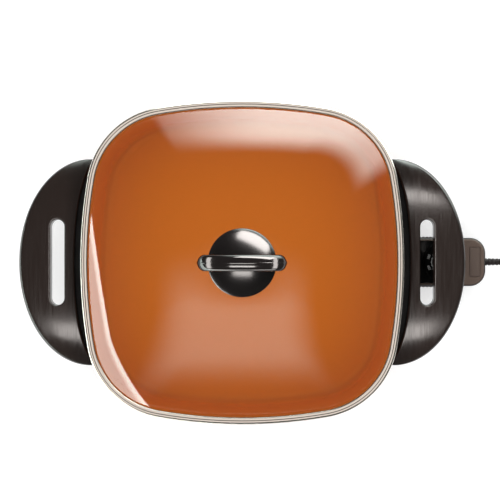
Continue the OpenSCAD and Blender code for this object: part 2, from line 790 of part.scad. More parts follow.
module control_base() {
    color([0.16, 0.14, 0.14]) place() difference() {
        union() {
            keep(control_z - over, split_z) control_shell();
            at_control_screws() translate([0, 0, control_z + control_t / 2])
                cylinder(d = post_d + 2, h = split_z - control_z - control_t / 2);
        }
        at_control_screws() translate([0, 0, control_z - over]) {
            cylinder(d = small_screw_d + 2 * seat, h = control_h);
            cylinder(d = small_head_d + slip, h = over + control_screw_in);
        }
    }
}

module control_screws() {
    color([0.7, 0.7, 0.7]) place() at_control_screws() translate([0, 0, control_z + control_screw_in])
        screw(small_screw_d, small_head_d, small_head_h, control_h / 2 + 4);
}

// Steel tube with a closed round nose, which feels the pan's heat
module sensor_tube() {
    nose = control_face - sensor_len + sensor_d / 2;
    tail = control_face + control_t + 8;
    color([0.72, 0.72, 0.7]) place() translate([nose, 0, element_z]) rotate([0, 90, 0]) difference() {
        union() {
            sphere(d = sensor_d);
            cylinder(d = sensor_d, h = tail - nose);
            translate([0, 0, control_face + control_t + seat - nose]) cylinder(d = sensor_d + 3, h = 1.4);
        }
        cylinder(d = sensor_d - 1.4, h = tail - nose + over);
    }
}

module contact_sockets() {
    color([0.8, 0.65, 0.35]) place() both_y() translate([insulator_x, terminal_y, element_z])
        rotate([0, 90, 0]) difference() {
            cylinder(d = socket_d, h = socket_len);
            translate([0, 0, -over]) cylinder(d = pin_d + 2 * slip, h = socket_len - 1 + over);
        }
}

// Moulded block that holds the sockets and the tail of the sensor tube
module contact_insulator() {
    color([0.85, 0.8, 0.7]) place() difference() {
        translate([insulator_x, -insulator_y, control_z + control_t + seat])
            cube([insulator_len, 2 * insulator_y, element_z + 6 - control_z - control_t]);
        both_y() translate([insulator_x - over, terminal_y, element_z]) rotate([0, 90, 0])
            cylinder(d = socket_d + 2 * seat, h = insulator_len + 2 * over);
        translate([insulator_x - over, 0, element_z]) rotate([0, 90, 0])
            cylinder(d = sensor_d + 2 * seat, h = insulator_len + 2 * over);
    }
}

// Spring arms that meet at the switch's contact beside the cam
module contact_arm() {
    translate([insulator_x + socket_len + seat, terminal_y - 7, element_z - spring_h / 2]) {
        cube([spring_t, spring_len, spring_h]);
        cube([spring_len, spring_t, spring_h]);
        translate([spring_len - 2, -1, spring_h / 2]) rotate([-90, 0, 0]) cylinder(d = 3, h = 1.2);
    }
}

module fixed_contact_arm() { color([0.8, 0.5, 0.3]) place() contact_arm(); }

module moving_contact_arm() { color([0.8, 0.5, 0.3]) place() mirror([0, 1, 0]) contact_arm(); }

module bimetal_strip() {
    color([0.7, 0.6, 0.4]) place()
        translate([control_face - sensor_len + bimetal_in, -bimetal_w / 2, element_z - bimetal_t / 2])
            cube([sensor_len + 2, bimetal_w, bimetal_t]);
}

// Small lamp under the middle of the window
module indicator_lamp() {
    color([0.7, 0.2, 0.1]) place()
        translate([window_x + window_w / 2, 0, control_top_z - window_t - seat - lamp_h])
            cylinder(d = lamp_d, h = lamp_h);
}

module indicator_window() {
    color([0.3, 0.27, 0.26]) place()
        translate([window_x + seat, seat - window_len / 2, control_top_z - window_t + seat])
            cube([window_w - 2 * seat, window_len - 2 * seat, window_t + 0.1]);
}

module temperature_dial() {
    notch_n = 40;
    color([0.05, 0.05, 0.05]) place() translate([dial_x, 0, dial_z]) difference() {
        union() {
            linear_extrude(dial_h - 1.5) difference() {
                circle(d = dial_d);
                for (i = [0 : notch_n - 1]) rotate(i * 360 / notch_n)
                    translate([dial_d / 2 + 0.4, 0]) circle(1, $fn = 24);
            }
            cylinder(d1 = dial_d - 3, d2 = dial_d - 5, h = dial_h);
        }
        translate([0, 0, -over]) cylinder(d = shaft_d + 2 * seat, h = dial_h - 2 + over);
    }
}

module dial_shaft() {
    low = control_z + control_t + 1;
    color([0.75, 0.75, 0.75]) place() translate([dial_x, 0, 0]) {
        translate([0, 0, low]) cylinder(d = shaft_d, h = dial_z + dial_h - 2 - seat - low);
        translate([1.5, 0, element_z - 3]) cylinder(d = shaft_d + 5, h = 6);
    }
}

// ---------- cord ----------

function unit(v) = v / norm(v);
function ring_at(p, t, d, sides) = let (u = unit(cross(t, [0, 0, 1])), v = cross(u, t))
    [for (i = [0 : sides - 1]) let (a = 360 * i / sides) p + d / 2 * (cos(a) * u + sin(a) * v)];

// A plain round tube along a route
module tube(route, d) {
    n = len(route) - 1;
    skin([for (i = [0 : n])
        ring_at(route[i], unit(route[min(i + 1, n)] - route[max(i - 1, 0)]), d, cord_sides)]);
}

module strain_relief() {
    color([0.14, 0.12, 0.12]) place()
        translate([control_end, 0, cord_z]) rotate([0, 90, 0]) difference() {
        union() {
            translate([0, 0, -control_t - 2]) cylinder(d = relief_d0, h = control_t + 2);
            translate([0, 0, -control_t - 2]) cylinder(d = relief_d0 + 3, h = 2 - seat);
            cylinder(d1 = relief_d0, d2 = relief_d1, h = relief_len);
        }
        for (i = [1 : 4]) translate([0, 0, i * relief_len / 5.5])
            difference() {
                cylinder(d = relief_d0 + 1, h = 1.2);
                translate([0, 0, -over]) cylinder(d = relief_d1 - 1, h = 1.2 + 2 * over);
            }
    }
}

module cord_lead() {
    color([0.2, 0.17, 0.17]) place() translate([relief_end, 0, 0]) tube(lead_route, cord_d);
}

// Two turns on the table with a third in a band on top of them
module cord_coil() {
    color([0.2, 0.17, 0.17]) place() translate([relief_end + coil_dx, coil_dy, 0]) rotate_extrude() {
        translate([coil_r - coil_band - cord_d, 0]) square([coil_band + 2 * cord_d, cord_d]);
        translate([coil_r - coil_band, coil_top_z - cord_d / 2]) square([coil_band, cord_d]);
        for (r = [coil_r - coil_band, coil_r]) translate([r, coil_top_z]) circle(d = cord_d, $fn = 24);
    }
}

module cord_tail() {
    color([0.2, 0.17, 0.17]) place() translate([relief_end, 0, 0]) tube(tail_route, cord_d);
}

// Plug that lies flat, with its nose towards +Y
plug_end = tail_route[len(tail_route) - 1];
function plug_ring(y, w, t, r) = let (c = plug_end)
    [for (q = [[1, 1, 0], [-1, 1, 90], [-1, -1, 180], [1, -1, 270]]) for (a = [0 : 30 : 90])
        [c.x + q.x * (w / 2 - r) + r * cos(q.z + a), c.y + y, c.z + q.y * (t / 2 - r) + r * sin(q.z + a)]];

module plug_body() {
    t = plug_t;
    color([0.12, 0.11, 0.11]) place() translate([relief_end, 0, 0]) skin([
        plug_ring(0, cord_d + 2, cord_d + 2, 3), plug_ring(6, 12, 10, 4), plug_ring(14, 17, t - 1.5, 4),
        plug_ring(22, 22, t, 4), plug_ring(30, 24, t, 4), plug_ring(plug_len, 22, t, 4)]);
}

module plug_blades() {
    color([0.8, 0.72, 0.5]) place() translate([relief_end, 0, 0] + plug_end)
        for (s = [-1, 1]) translate([(s * blade_pitch - blade_t) / 2, plug_len, 0]) difference() {
            translate([0, 0, -blade_w / 2]) cube([blade_t, blade_len, blade_w]);
            translate([-over, blade_len - blade_hole_in, 0]) rotate([0, 90, 0])
                cylinder(d = blade_hole_d, h = blade_t + 2 * over);
        }
}

pan();
heating_element();
terminal_pins();
terminal_beads();
terminal_guard();
guard_screws();
left_handle();
right_handle();
left_leg_frame();
right_leg_frame();
pan_screws();
handle_screws();
foot_front_left();
foot_front_right();
foot_rear_left();
foot_rear_right();
lid_glass();
lid_rim();
knob();
knob_screw();
knob_washer();
control_top();
control_base();
control_screws();
sensor_tube();
contact_sockets();
fixed_contact_arm();
moving_contact_arm();
bimetal_strip();
contact_insulator();
indicator_lamp();
indicator_window();
temperature_dial();
dial_shaft();
strain_relief();
cord_lead();
cord_coil();
cord_tail();
plug_body();
plug_blades();
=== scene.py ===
# %% [markdown]
# # Electric skillet
# The real object is a square cast pan with bowed sides, carried by two plastic leg
# frames with wide grips. A domed glass lid with a steel rim lies on it, and a
# temperature control on a short mains cord plugs in under the right grip.
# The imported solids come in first. They set every place and size, and the pieces
# made here take their looks from the same measures, which are in millimetres.

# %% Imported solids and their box
from functools import partial
from math import asin, atan, copysign, cos, degrees, hypot, pi, radians, sin, sqrt, tan

import bmesh
import bpy
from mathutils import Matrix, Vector


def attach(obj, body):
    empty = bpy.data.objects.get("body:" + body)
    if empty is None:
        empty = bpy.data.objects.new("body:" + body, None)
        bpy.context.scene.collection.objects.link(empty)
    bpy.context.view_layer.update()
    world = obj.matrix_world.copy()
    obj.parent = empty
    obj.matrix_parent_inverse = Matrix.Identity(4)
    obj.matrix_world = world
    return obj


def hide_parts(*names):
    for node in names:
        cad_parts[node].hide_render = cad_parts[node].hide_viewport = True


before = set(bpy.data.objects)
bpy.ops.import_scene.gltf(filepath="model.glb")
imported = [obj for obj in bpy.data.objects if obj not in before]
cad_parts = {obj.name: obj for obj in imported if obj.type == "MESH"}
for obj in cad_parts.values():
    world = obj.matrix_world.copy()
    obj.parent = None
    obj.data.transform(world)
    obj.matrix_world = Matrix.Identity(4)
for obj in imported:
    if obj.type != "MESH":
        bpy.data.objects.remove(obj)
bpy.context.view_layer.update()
MM = 0.001
BODY_X = -13.25

# %% [markdown]
# ## Camera
# A product table is photographed from straight above with a long lens, so that the
# pan's walls hardly show and the grips keep their true outline. One millimetre of
# the pan's rim plane is one pixel of the frame.

# %% Camera straight above the rim
RIM_Z = 100
CAMERA_UP, CAMERA_X, CAMERA_Y = 1700, BODY_X + 7.7, 12.4
SENSOR, FRAME_W, CLIP_M = 36, 500, 20


def placed(name, data):
    """A new object in the scene."""
    thing = bpy.data.objects.new(name, data)
    bpy.context.scene.collection.objects.link(thing)
    return thing


camera_data = bpy.data.cameras.new("overhead")
camera_data.sensor_width = SENSOR
camera_data.lens = SENSOR * CAMERA_UP / FRAME_W
camera_data.clip_end = CLIP_M
camera = placed("overhead", camera_data)
camera.location = Vector((CAMERA_X, CAMERA_Y, RIM_Z + CAMERA_UP)) * MM
bpy.context.scene.camera = camera
print("lens:", round(camera_data.lens, 1), "mm")

# %% [markdown]
# ## Cord
# A skillet's mains cord is short, so that it can't be pulled over the table's edge.
# It leaves the control straight, sinks to the table, and lies in one neat coil with
# the plug beside it. A curve with a round bevel keeps its thickness in every bend.
# The curve runs a little inside its control points, so the coil's are set wider.

# %% Route of the cord
CORD_D, CORD_Z = 6, 24.5
LYING = CORD_D / 2
CONTROL_END, RELIEF_LEN = 251, 22
RELIEF_TIP = BODY_X + CONTROL_END + RELIEF_LEN
COIL_X, COIL_Y = 51, -33
UPPER_R, UPPER_IN, UPPER_Z, LOWER_R = 33, 5.1, 8.8, 24.8
DROP_FROM, DROP_TO, LAST_TURN, TURN_STEP = 230, 320, 990, 18
CROSS_A, CROSS_SWEEP = 103, 77
WIDER = 3 / (2 + cos(radians(TURN_STEP)))


def low_radius(u):
    """Radius of the lower spiral after u degrees: it widens by one cord each turn."""
    return LOWER_R + CORD_D * (u - DROP_TO) / 360


def coil_place(u):
    """Place on the coil after u degrees, clockwise from where the cord comes in."""
    if u <= DROP_FROM:
        r, z = UPPER_R - UPPER_IN * u / DROP_FROM, UPPER_Z
    elif u < DROP_TO:
        t = radians(CROSS_A + CROSS_SWEEP * (u - DROP_FROM) / (DROP_TO - DROP_FROM))
        r, z = low_radius(u + 360) + CORD_D * cos(t), LYING + CORD_D * sin(t)
    else:
        r, z = low_radius(u), LYING
    r *= WIDER
    a = radians(90 - u)
    return (COIL_X + r * cos(a), COIL_Y + r * sin(a), z)


lead = [(x, 0, z) for x, z in (
    (0, CORD_Z), (5, CORD_Z), (10, CORD_Z), (15, 24.1), (20, 23), (24.5, 21.5), (28.5, 19.2),
    (32.5, 16.5), (36.5, 13.7), (41, 11.3), (45, 9.8))]
coil = [coil_place(u) for u in range(0, LAST_TURN + 1, TURN_STEP)]
tail = [(15, y, z) for y, z in (
    (-24, 3), (-14, 3), (-4, 3.2), (4, 4.2), (10, 6), (15, 7.2), (19, 7.5), (22, 7.5))]
route = lead + coil + tail

# %% Cord as a bevelled curve
cord_curve = bpy.data.curves.new("mains_cord", "CURVE")
cord_curve.dimensions = "3D"
cord_curve.bevel_depth = CORD_D / 2 * MM
cord_curve.bevel_resolution = 6
cord_curve.use_fill_caps = True
cord_spline = cord_curve.splines.new("NURBS")
cord_spline.points.add(len(route) - 1)
for point, (x, y, z) in zip(cord_spline.points, route):
    point.co = (*(Vector((RELIEF_TIP + x, y, z)) * MM), 1)
cord_spline.use_endpoint_u = True
cord_spline.order_u = 4
cord_spline.resolution_u = 6
mains_cord = placed("mains_cord", cord_curve)
print("mains_cord:", CORD_D, "mm thick")

# %% [markdown]
# ## Helpers for meshes
# Moulded and cast pieces are rows of closed rings joined into a skin, which is how
# a pattern maker thinks of them: one section after another. These helpers return
# points and faces in millimetres.

# %% Rings and skins
AXIS_R = 0.001


def skin(rings, closed=False):
    """Points and faces of rings joined in a row; closed joins the last to the first."""
    n, m = len(rings[0]), len(rings)
    points = [p for ring in rings for p in ring]
    faces = []
    for j in range(m if closed else m - 1):
        k = (j + 1) % m
        for i in range(n):
            i2 = (i + 1) % n
            faces.append((j * n + i, j * n + i2, k * n + i2, k * n + i))
    if not closed:
        faces.append(tuple(range(n))[::-1])
        faces.append(tuple((m - 1) * n + i for i in range(n)))
    return points, faces


def bend(cx, cy, r, a0, a1, steps):
    """Points on an arc, from a0 to a1 degrees."""
    angles = [radians(a0 + (a1 - a0) * i / steps) for i in range(steps + 1)]
    return [(cx + r * cos(a), cy + r * sin(a)) for a in angles]


def turned(profile, centre=(0, 0, 0), axis="Z", steps=96):
    """A lathe-turned form; its profile holds radius and height and ends on the axis."""
    rings = []
    for r, h in profile:
        r, ring = max(r, AXIS_R), []
        for i in range(steps):
            a = 2 * pi * i / steps
            c, s = r * cos(a), r * sin(a)
            p = (c, s, h) if axis == "Z" else (h, c, s)
            ring.append(tuple(u + v for u, v in zip(centre, p)))
        rings.append(ring)
    return skin(rings)


def rounded_rect(w, d, r, steps=6):
    """Plan of a rectangle with round corners, counter-clockwise, about the origin."""
    r = min(r, w / 2 - 0.01, d / 2 - 0.01)
    points = []
    for qx, qy, a0 in ((1, 1, 0), (-1, 1, 90), (-1, -1, 180), (1, -1, 270)):
        points += bend(qx * (w / 2 - r), qy * (d / 2 - r), r, a0, a0 + 90, steps)
    return points


def block(cx, cy, z0, z1, w, d, r, edge=0.6):
    """A block with round corners in plan and rolled top and bottom edges."""
    roll = 0.3 * edge
    rings = []
    for z, pull in ((z0, edge), (z0 + roll, roll), (z0 + edge, 0),
                    (z1 - edge, 0), (z1 - roll, roll), (z1, edge)):
        plan = rounded_rect(w - 2 * pull, d - 2 * pull, max(0.2, r - pull))
        rings.append([(cx + x, cy + y, z) for x, y in plan])
    return skin(rings)


# %% [markdown]
# One call turns skins into a Blender object in metres, with smooth faces and sharp
# edges where two faces meet at an angle. Holes are cut with a boolean, and pieces
# moulded in one are joined into one mesh.

# %% Objects from skins
SHARP = 40


def mesh_of(name, bm):
    """A mesh with what was put together in bm."""
    mesh = bpy.data.meshes.new(name)
    bm.to_mesh(mesh)
    bm.free()
    return mesh


def settled(thing):
    """A mesh of an object as it stands, with its modifiers or its text worked out."""
    bpy.context.view_layer.update()
    done = thing.evaluated_get(bpy.context.evaluated_depsgraph_get())
    return bpy.data.meshes.new_from_object(done)


def smooth(mesh, sharp=SHARP):
    """Smooth faces, with edges sharp where they turn by more than an angle."""
    mesh.shade_smooth()
    mesh.set_sharp_from_angle(angle=radians(sharp))


def make(name, *shells, sharp=SHARP):
    """Joins shells of points and faces, in millimetres, into one object in metres."""
    bm = bmesh.new()
    for points, faces in shells:
        verts = [bm.verts.new(((x + BODY_X) * MM, y * MM, z * MM)) for x, y, z in points]
        for f in faces:
            bm.faces.new([verts[i] for i in f])
    bmesh.ops.recalc_face_normals(bm, faces=bm.faces)
    mesh = mesh_of(name, bm)
    smooth(mesh, sharp)
    return placed(name, mesh)


def drill(r, h0, h1, centre, axis="X"):
    """A round cutter along an axis."""
    return make("drill", turned([(0, h0), (r, h0), (r, h1), (0, h1)], centre, axis, 32))


def cut(piece, *cutters):
    """Takes the cutters out of a piece and drops them."""
    for tool in cutters:
        m = piece.modifiers.new("cut", "BOOLEAN")
        m.operation = "DIFFERENCE"
        m.solver = "EXACT"
        m.object = tool
    mesh = settled(piece)
    piece.modifiers.clear()
    piece.data = mesh
    smooth(mesh)
    for tool in cutters:
        bpy.data.objects.remove(tool)
    return piece


def joined(name, *parts):
    """Puts the meshes of several objects into one new object."""
    bm = bmesh.new()
    for part in parts:
        bm.from_mesh(part.data)
        bpy.data.objects.remove(part)
    mesh = mesh_of(name, bm)
    smooth(mesh)
    return placed(name, mesh)


def mirrored(shell):
    """A shell turned over the middle plane, for the left side."""
    return [(-x, y, z) for x, y, z in shell[0]], [f[::-1] for f in shell[1]]


SIDES = (("left", mirrored), ("right", lambda shell: shell))

# %% [markdown]
# ## Plan of the mouth
# The pan's sides are bowed outwards and its corners are generous, so its plan is
# eight arcs that run into each other. Every ring of the pan, the rim and the glass
# is that plan moved in or out, which keeps the three in step all the way round.

# %% Mouth outline
MOUTH, SIDE_R, CORNER_R = 305, 490, 76
HALF = MOUTH / 2
SIDE_C = HALF - SIDE_R
STEP_R = SIDE_R - CORNER_R
CORNER_C = (SIDE_C + sqrt(2 * STEP_R ** 2 - SIDE_C ** 2)) / 2
SIDE_A = degrees(asin(CORNER_C / STEP_R))
SIDE_STEPS, CORNER_STEPS = 14, 26


def outline(o):
    """Points round the mouth, moved out by o."""
    points = []
    for q in range(4):
        row = []
        for i in range(SIDE_STEPS):
            a = radians(SIDE_A * (2 * i / SIDE_STEPS - 1))
            row.append((SIDE_C + (SIDE_R + o) * cos(a), (SIDE_R + o) * sin(a)))
        row += bend(CORNER_C, CORNER_C, CORNER_R + o, SIDE_A, 90 - SIDE_A, CORNER_STEPS)[:-1]
        c, s = round(cos(pi * q / 2)), round(sin(pi * q / 2))
        points += [(x * c - y * s, x * s + y * c) for x, y in row]
    return points


def outline_x(y, o):
    """Where the outline, moved out by o, crosses the line at y on the +X side."""
    y = abs(y)
    if y < (SIDE_R + o) * sin(radians(SIDE_A)):
        return SIDE_C + sqrt((SIDE_R + o) ** 2 - y * y)
    return CORNER_C + sqrt((CORNER_R + o) ** 2 - (y - CORNER_C) ** 2)


def level(o, z):
    """A level ring round the mouth."""
    return [(x, y, z) for x, y in outline(o)]


def shrunk(ring, k, z):
    """A ring drawn in towards the middle by a factor, at a height."""
    return [(x * k, y * k, z) for x, y, _ in ring]


print("corner centres at", round(CORNER_C, 2), "side arc", round(SIDE_A, 2), "degrees")

# %% [markdown]
# ## Pan
# A die-cast aluminium pan: a leaning wall, a round turn into the floor, and a flat
# lip that the lid rests on. One profile goes from the middle of the underside, up
# the outside, over the lip and down the inside, and is repeated on the outline.

# %% Cast bowl
PAN_DEPTH, WALL_T, FLOOR_T, LEAN, FILLET = 66, 3, 4, 6, 12
LIP_W, LIP_T, LIP_ROLL, LIP_FILLET, LIP_IN = 6.5, 3, 1.4, 1.5, 1.0
FLOOR_Z = RIM_Z - PAN_DEPTH
UNDER_Z = FLOOR_Z - FLOOR_T
LEAN_A = degrees(atan(LEAN / PAN_DEPTH))
TAN = tan(radians(LEAN_A))
WALL_OUT = WALL_T / cos(radians(LEAN_A))
FLAT = (0.05, 0.3, 0.6, 0.9, 0.99)


def floor_turn(corner_o, corner_z, r, steps):
    """The arc where a floor turns into the leaning wall, from the floor side up."""
    t = r * tan(radians(90 - LEAN_A) / 2)
    return bend(corner_o - t, corner_z + r, r, -90, -LEAN_A, steps)


def bowl_rings():
    """The bowl's rings from the middle of the underside to the middle of the floor."""
    low = floor_turn(-LEAN - FLOOR_T * TAN + WALL_OUT, UNDER_Z, FILLET + WALL_T, 10)
    high = floor_turn(-LEAN, FLOOR_Z, FILLET, 12)
    lip_z, edge = RIM_Z - LIP_T, LIP_W - LIP_ROLL
    lip = (bend(WALL_OUT - LIP_T * TAN + LIP_FILLET, lip_z - LIP_FILLET, LIP_FILLET, 180, 90, 4)
           + bend(edge, lip_z + LIP_ROLL, LIP_ROLL, -90, 0, 4)
           + bend(edge, RIM_Z - LIP_ROLL, LIP_ROLL, 0, 90, 4)
           + bend(LIP_IN, RIM_Z - LIP_IN, LIP_IN, 90, 180 - LEAN_A, 4))
    base, floor = level(*low[0]), level(*high[0])
    return ([shrunk(base, k, UNDER_Z) for k in FLAT] + [level(*p) for p in low + lip + high[::-1]]
            + [shrunk(floor, k, FLOOR_Z) for k in FLAT[::-1]])


pan_bowl = make("pan_bowl", skin(bowl_rings()), sharp=60)
print("pan_bowl:", len(pan_bowl.data.polygons), "faces")

# %% [markdown]
# ## Heating element
# A steel tube bent into a square loop is cast into a ridge under the floor. Its two
# ends come out of a block at the right side, where the control's sockets reach them.
# The tube and the ridge are one section carried along the same path.

# %% Path of the element
ELEMENT_D = 7
ELEMENT_Z = UNDER_Z - ELEMENT_D / 2
LOOP_HALF, LOOP_R, TURN_R, TERMINAL_Y = 92, 40, 16, 16


def element_path(end_x):
    """Points along the loop, from the rear terminal round to the front one."""
    turn_x, turn_y, straight = LOOP_HALF + TURN_R, TERMINAL_Y + TURN_R, LOOP_HALF - LOOP_R
    path = [(end_x, TERMINAL_Y)] + bend(turn_x, turn_y, TURN_R, -90, -180, 10)
    for qx, qy, a0 in ((1, 1, 0), (-1, 1, 90), (-1, -1, 180), (1, -1, 270)):
        path += bend(qx * straight, qy * straight, LOOP_R, a0, a0 + 90, 16)
    return path + bend(turn_x, -turn_y, TURN_R, 180, 90, 10) + [(end_x, -TERMINAL_Y)]


def along(path, section):
    """Carries a section of across and height along a level path."""
    rings = []
    for i, (x, y) in enumerate(path):
        x0, y0 = path[max(0, i - 1)]
        x1, y1 = path[min(len(path) - 1, i + 1)]
        n = hypot(x1 - x0, y1 - y0)
        nx, ny = (y1 - y0) / n, -(x1 - x0) / n
        rings.append([(x + nx * s, y + ny * s, z) for s, z in section])
    return skin(rings)


print("element path:", len(element_path(0)), "points")

# %% Ridge, terminal block and bosses
BLOCK_X0, BLOCK_X1, BLOCK_Y = HALF - 24, HALF - 8, TERMINAL_Y + 8
BLOCK_Z, BLOCK_ROLL = ELEMENT_Z - ELEMENT_D / 2 - 4, 0.8
CHANNEL_X, CHANNEL_LEN, CHANNEL_W = BLOCK_X0 - 14.5, 31, 14
RIDGE, RIDGE_R, RIDGE_Z, SUNK = 7.5, 2, UNDER_Z - 3.5, UNDER_Z + 0.3
PAN_SCREW_X, LEG_Y = HALF - 34, 76
BOSS = ((0, -4), (6.4, -4), (7, -3.4), (7, -1.5), (7.8, -0.4), (9, 0.3))
BEAD_R, BEAD_IN, SENSOR_R, SENSOR_FROM, SENSOR_TO = 4.85, 5, 3.9, 110, 150

ridge_section = ([(-RIDGE - 1.5, SUNK)] + bend(-RIDGE + RIDGE_R, RIDGE_Z, RIDGE_R, 180, 270, 4)
                 + bend(RIDGE - RIDGE_R, RIDGE_Z, RIDGE_R, -90, 0, 4) + [(RIDGE + 1.5, SUNK)])
tube_section = bend(0, ELEMENT_Z, ELEMENT_D / 2, 0, 337.5, 15)
underside_shells = [
    along(element_path(BLOCK_X0 + 1), ridge_section),
    block((BLOCK_X0 + BLOCK_X1) / 2, 0, BLOCK_Z, UNDER_Z + 3, BLOCK_X1 - BLOCK_X0, 2 * BLOCK_Y,
          2, BLOCK_ROLL),
    block(CHANNEL_X, 0, BLOCK_Z, UNDER_Z + 0.4, CHANNEL_LEN, CHANNEL_W, 3, BLOCK_ROLL)]
boss = [(r, UNDER_Z + h) for r, h in BOSS]
underside_shells += [turned(boss, (sx * PAN_SCREW_X, sy * LEG_Y, 0), steps=40)
                     for sx in (-1, 1) for sy in (-1, 1)]
pan_underside = make("pan_underside", *underside_shells)
cut(pan_underside, drill(SENSOR_R, SENSOR_FROM, SENSOR_TO, (0, 0, ELEMENT_Z)),
    *[drill(BEAD_R, BLOCK_X1 - BEAD_IN, BLOCK_X1 + 2, (0, s * TERMINAL_Y, ELEMENT_Z))
      for s in (-1, 1)])
element_tube = make("element_tube", along(element_path(BLOCK_X1 - 5.1), tube_section), sharp=60)
print("underside faces:", len(pan_underside.data.polygons))

# %% [markdown]
# ## Lid
# The glass starts as the mouth's own outline at its edge and becomes a circle at the
# knob's seat. Each ring is the outline drawn in by a growing amount, and its height
# follows a curve that is steep at the rim and level at the top.

# %% Glass dome
LID_Z = RIM_Z + 0.3
RIM_SHEET, RIM_OUT, RIM_W, RIM_SKIRT = 0.9, 9.2, 7.2, 3
GLASS_Z, GLASS_T, DOME_H, SEAT_R = LID_Z + RIM_SHEET, 4, 44, 31
EDGE_GAP, UNDER_RIM = 0.4, 0.15
GLASS_OUT, GLASS_IN = RIM_OUT - RIM_SHEET - EDGE_GAP, RIM_OUT - RIM_W - UNDER_RIM
KNOB_Z = GLASS_Z + GLASS_T + DOME_H + 1
DOME_STEPS, DOME_RISE, DOME_SPACING = 30, 2.2, 1.15
SEAT_RADII = (28, 20, 12, 2.9)
dome_plan = outline(GLASS_IN)


def dome_ring(s, z):
    """A ring of the dome: s is 0 at the edge and 1 at the knob's seat."""
    z += DOME_H * (1 - (1 - s) ** DOME_RISE)
    shares = [1 - s + s * SEAT_R / hypot(x, y) for x, y in dome_plan]
    return [(x * k, y * k, z) for k, (x, y) in zip(shares, dome_plan)]


def round_ring(r, z):
    """A circle with the outline's own directions."""
    return [(x * r / hypot(x, y), y * r / hypot(x, y), z) for x, y in dome_plan]


def dome_rings(z):
    """One face of the glass from its edge to the screw's hole."""
    steps = [(i / DOME_STEPS) ** DOME_SPACING for i in range(DOME_STEPS + 1)]
    return [dome_ring(s, z) for s in steps] + [round_ring(r, z + DOME_H) for r in SEAT_RADII]


edge_rings = [level(GLASS_OUT, GLASS_Z), level(GLASS_OUT, GLASS_Z + GLASS_T)]
glass_rings = dome_rings(GLASS_Z)[::-1] + edge_rings + dome_rings(GLASS_Z + GLASS_T)
lid_dome = make("lid_dome", skin(glass_rings, closed=True), sharp=30)
print("lid_dome:", len(lid_dome.data.polygons), "faces")

# %% [markdown]
# ## Steel rim
# A strip of stainless steel is rolled over the glass edge into a channel. Its top is
# gently crowned, with a fine groove where the rollers pressed it, and its skirt hangs
# outside the pan's lip.

# %% Rolled rim
RIM_TOP = GLASS_Z + GLASS_T + 0.1 + RIM_SHEET
RIM_IN, RIM_WALL = RIM_OUT - RIM_W, RIM_OUT - RIM_SHEET
CROWN_H, CROWN_AT, CROWN_HALF, CROWN_STEPS = 0.9, RIM_IN + 0.48 * RIM_W, 3.2, 12
CROWN_FLAT, PRESSED = 2.6, 0.22
crown_top = [(CROWN_AT + CROWN_HALF * t / CROWN_STEPS,
              RIM_TOP + CROWN_H * (1 - abs(t / CROWN_STEPS) ** CROWN_FLAT)
              - (PRESSED if abs(t) < 2 else 0)) for t in range(-CROWN_STEPS, CROWN_STEPS + 1)]
skirt_z, under_top = RIM_Z - RIM_SKIRT, RIM_TOP - RIM_SHEET
rim_profile = (
    [(RIM_WALL, skirt_z + 0.3), (RIM_WALL, LID_Z), (RIM_IN, LID_Z), (RIM_IN, LID_Z + RIM_SHEET),
     (RIM_WALL, LID_Z + RIM_SHEET), (RIM_WALL, under_top), (RIM_IN + 0.2, under_top),
     (RIM_IN, under_top + 0.1), (RIM_IN, RIM_TOP - 0.4), (RIM_IN + 0.12, RIM_TOP - 0.15)]
    + crown_top
    + [(RIM_OUT - 0.25, RIM_TOP - 0.5), (RIM_OUT - 0.05, RIM_TOP - 1.1), (RIM_OUT, RIM_TOP - 1.8),
       (RIM_OUT, skirt_z + 0.45), (RIM_OUT - 0.2, skirt_z), (RIM_WALL + 0.2, skirt_z)])
rim_rings = [level(*p) for p in rim_profile]
rolled_rim = make("rolled_rim", skin(rim_rings, closed=True), sharp=50)
print("rolled_rim:", len(rim_profile), "points round its section")

# %% [markdown]
# ## Knob
# A round cap with an arched grip moulded across it, high enough for two fingers.
# The arch is an ellipse in side view with a flattened round section, swept from one
# foot to the other; both feet sink into the cap. A raised line along its back is
# where the two halves of the mould met.

# %% Cap
KNOB_D, KNOB_H, KNOB_EDGE = 67, 9, 0.9
KNOB_R, CAP_RISE = KNOB_D / 2, KNOB_H - 2
cap_r = (KNOB_R ** 2 + CAP_RISE ** 2) / (2 * CAP_RISE)


def cap_height(r):
    """Height of the cap's dome at a radius."""
    return KNOB_H - cap_r + sqrt(cap_r ** 2 - r * r)


cap_shares = (0.1, 0.2, 0.3, 0.4, 0.5, 0.6, 0.7, 0.8, 0.88, 0.94)
cap_under = [(KNOB_R, 0.5), (KNOB_R - 0.5, 0), (KNOB_R - 2.5, 0), (KNOB_R - 2.8, 0.3),
             (KNOB_R - 3, 2), (10, 2.4), (9.5, 0.1), (0, 0)]
cap_profile = ([(0, KNOB_H)] + [(KNOB_R * k, cap_height(KNOB_R * k)) for k in cap_shares]
               + bend(KNOB_R - KNOB_EDGE, cap_height(KNOB_R) - KNOB_EDGE, KNOB_EDGE, 65, 0, 5)
               + cap_under)
knob_cap = make("knob_cap", turned(cap_profile, (0, 0, KNOB_Z), steps=128), sharp=50)
print("knob_cap:", len(knob_cap.data.polygons), "faces")

# %% Arch
ARCH_LEN, ARCH_W, ARCH_T, ARCH_H, ARCH_LOW, ARCH_END = 87, 15.8, 7, 35.8, 17, 58
ARCH_A, ARCH_B = (ARCH_LEN - ARCH_T) / 2, ARCH_H - 1 - ARCH_T / 2 - ARCH_LOW
ARCH_SQUARE, ARCH_SLIM, ARCH_STEPS = 0.75, 0.06, 90
PARTING = 0.16
arch_angles = sorted(list(range(0, 360, 9)) + [87, 89, 91, 93])


def spow(v, e):
    """A power that keeps the sign."""
    return copysign(abs(v) ** e, v)


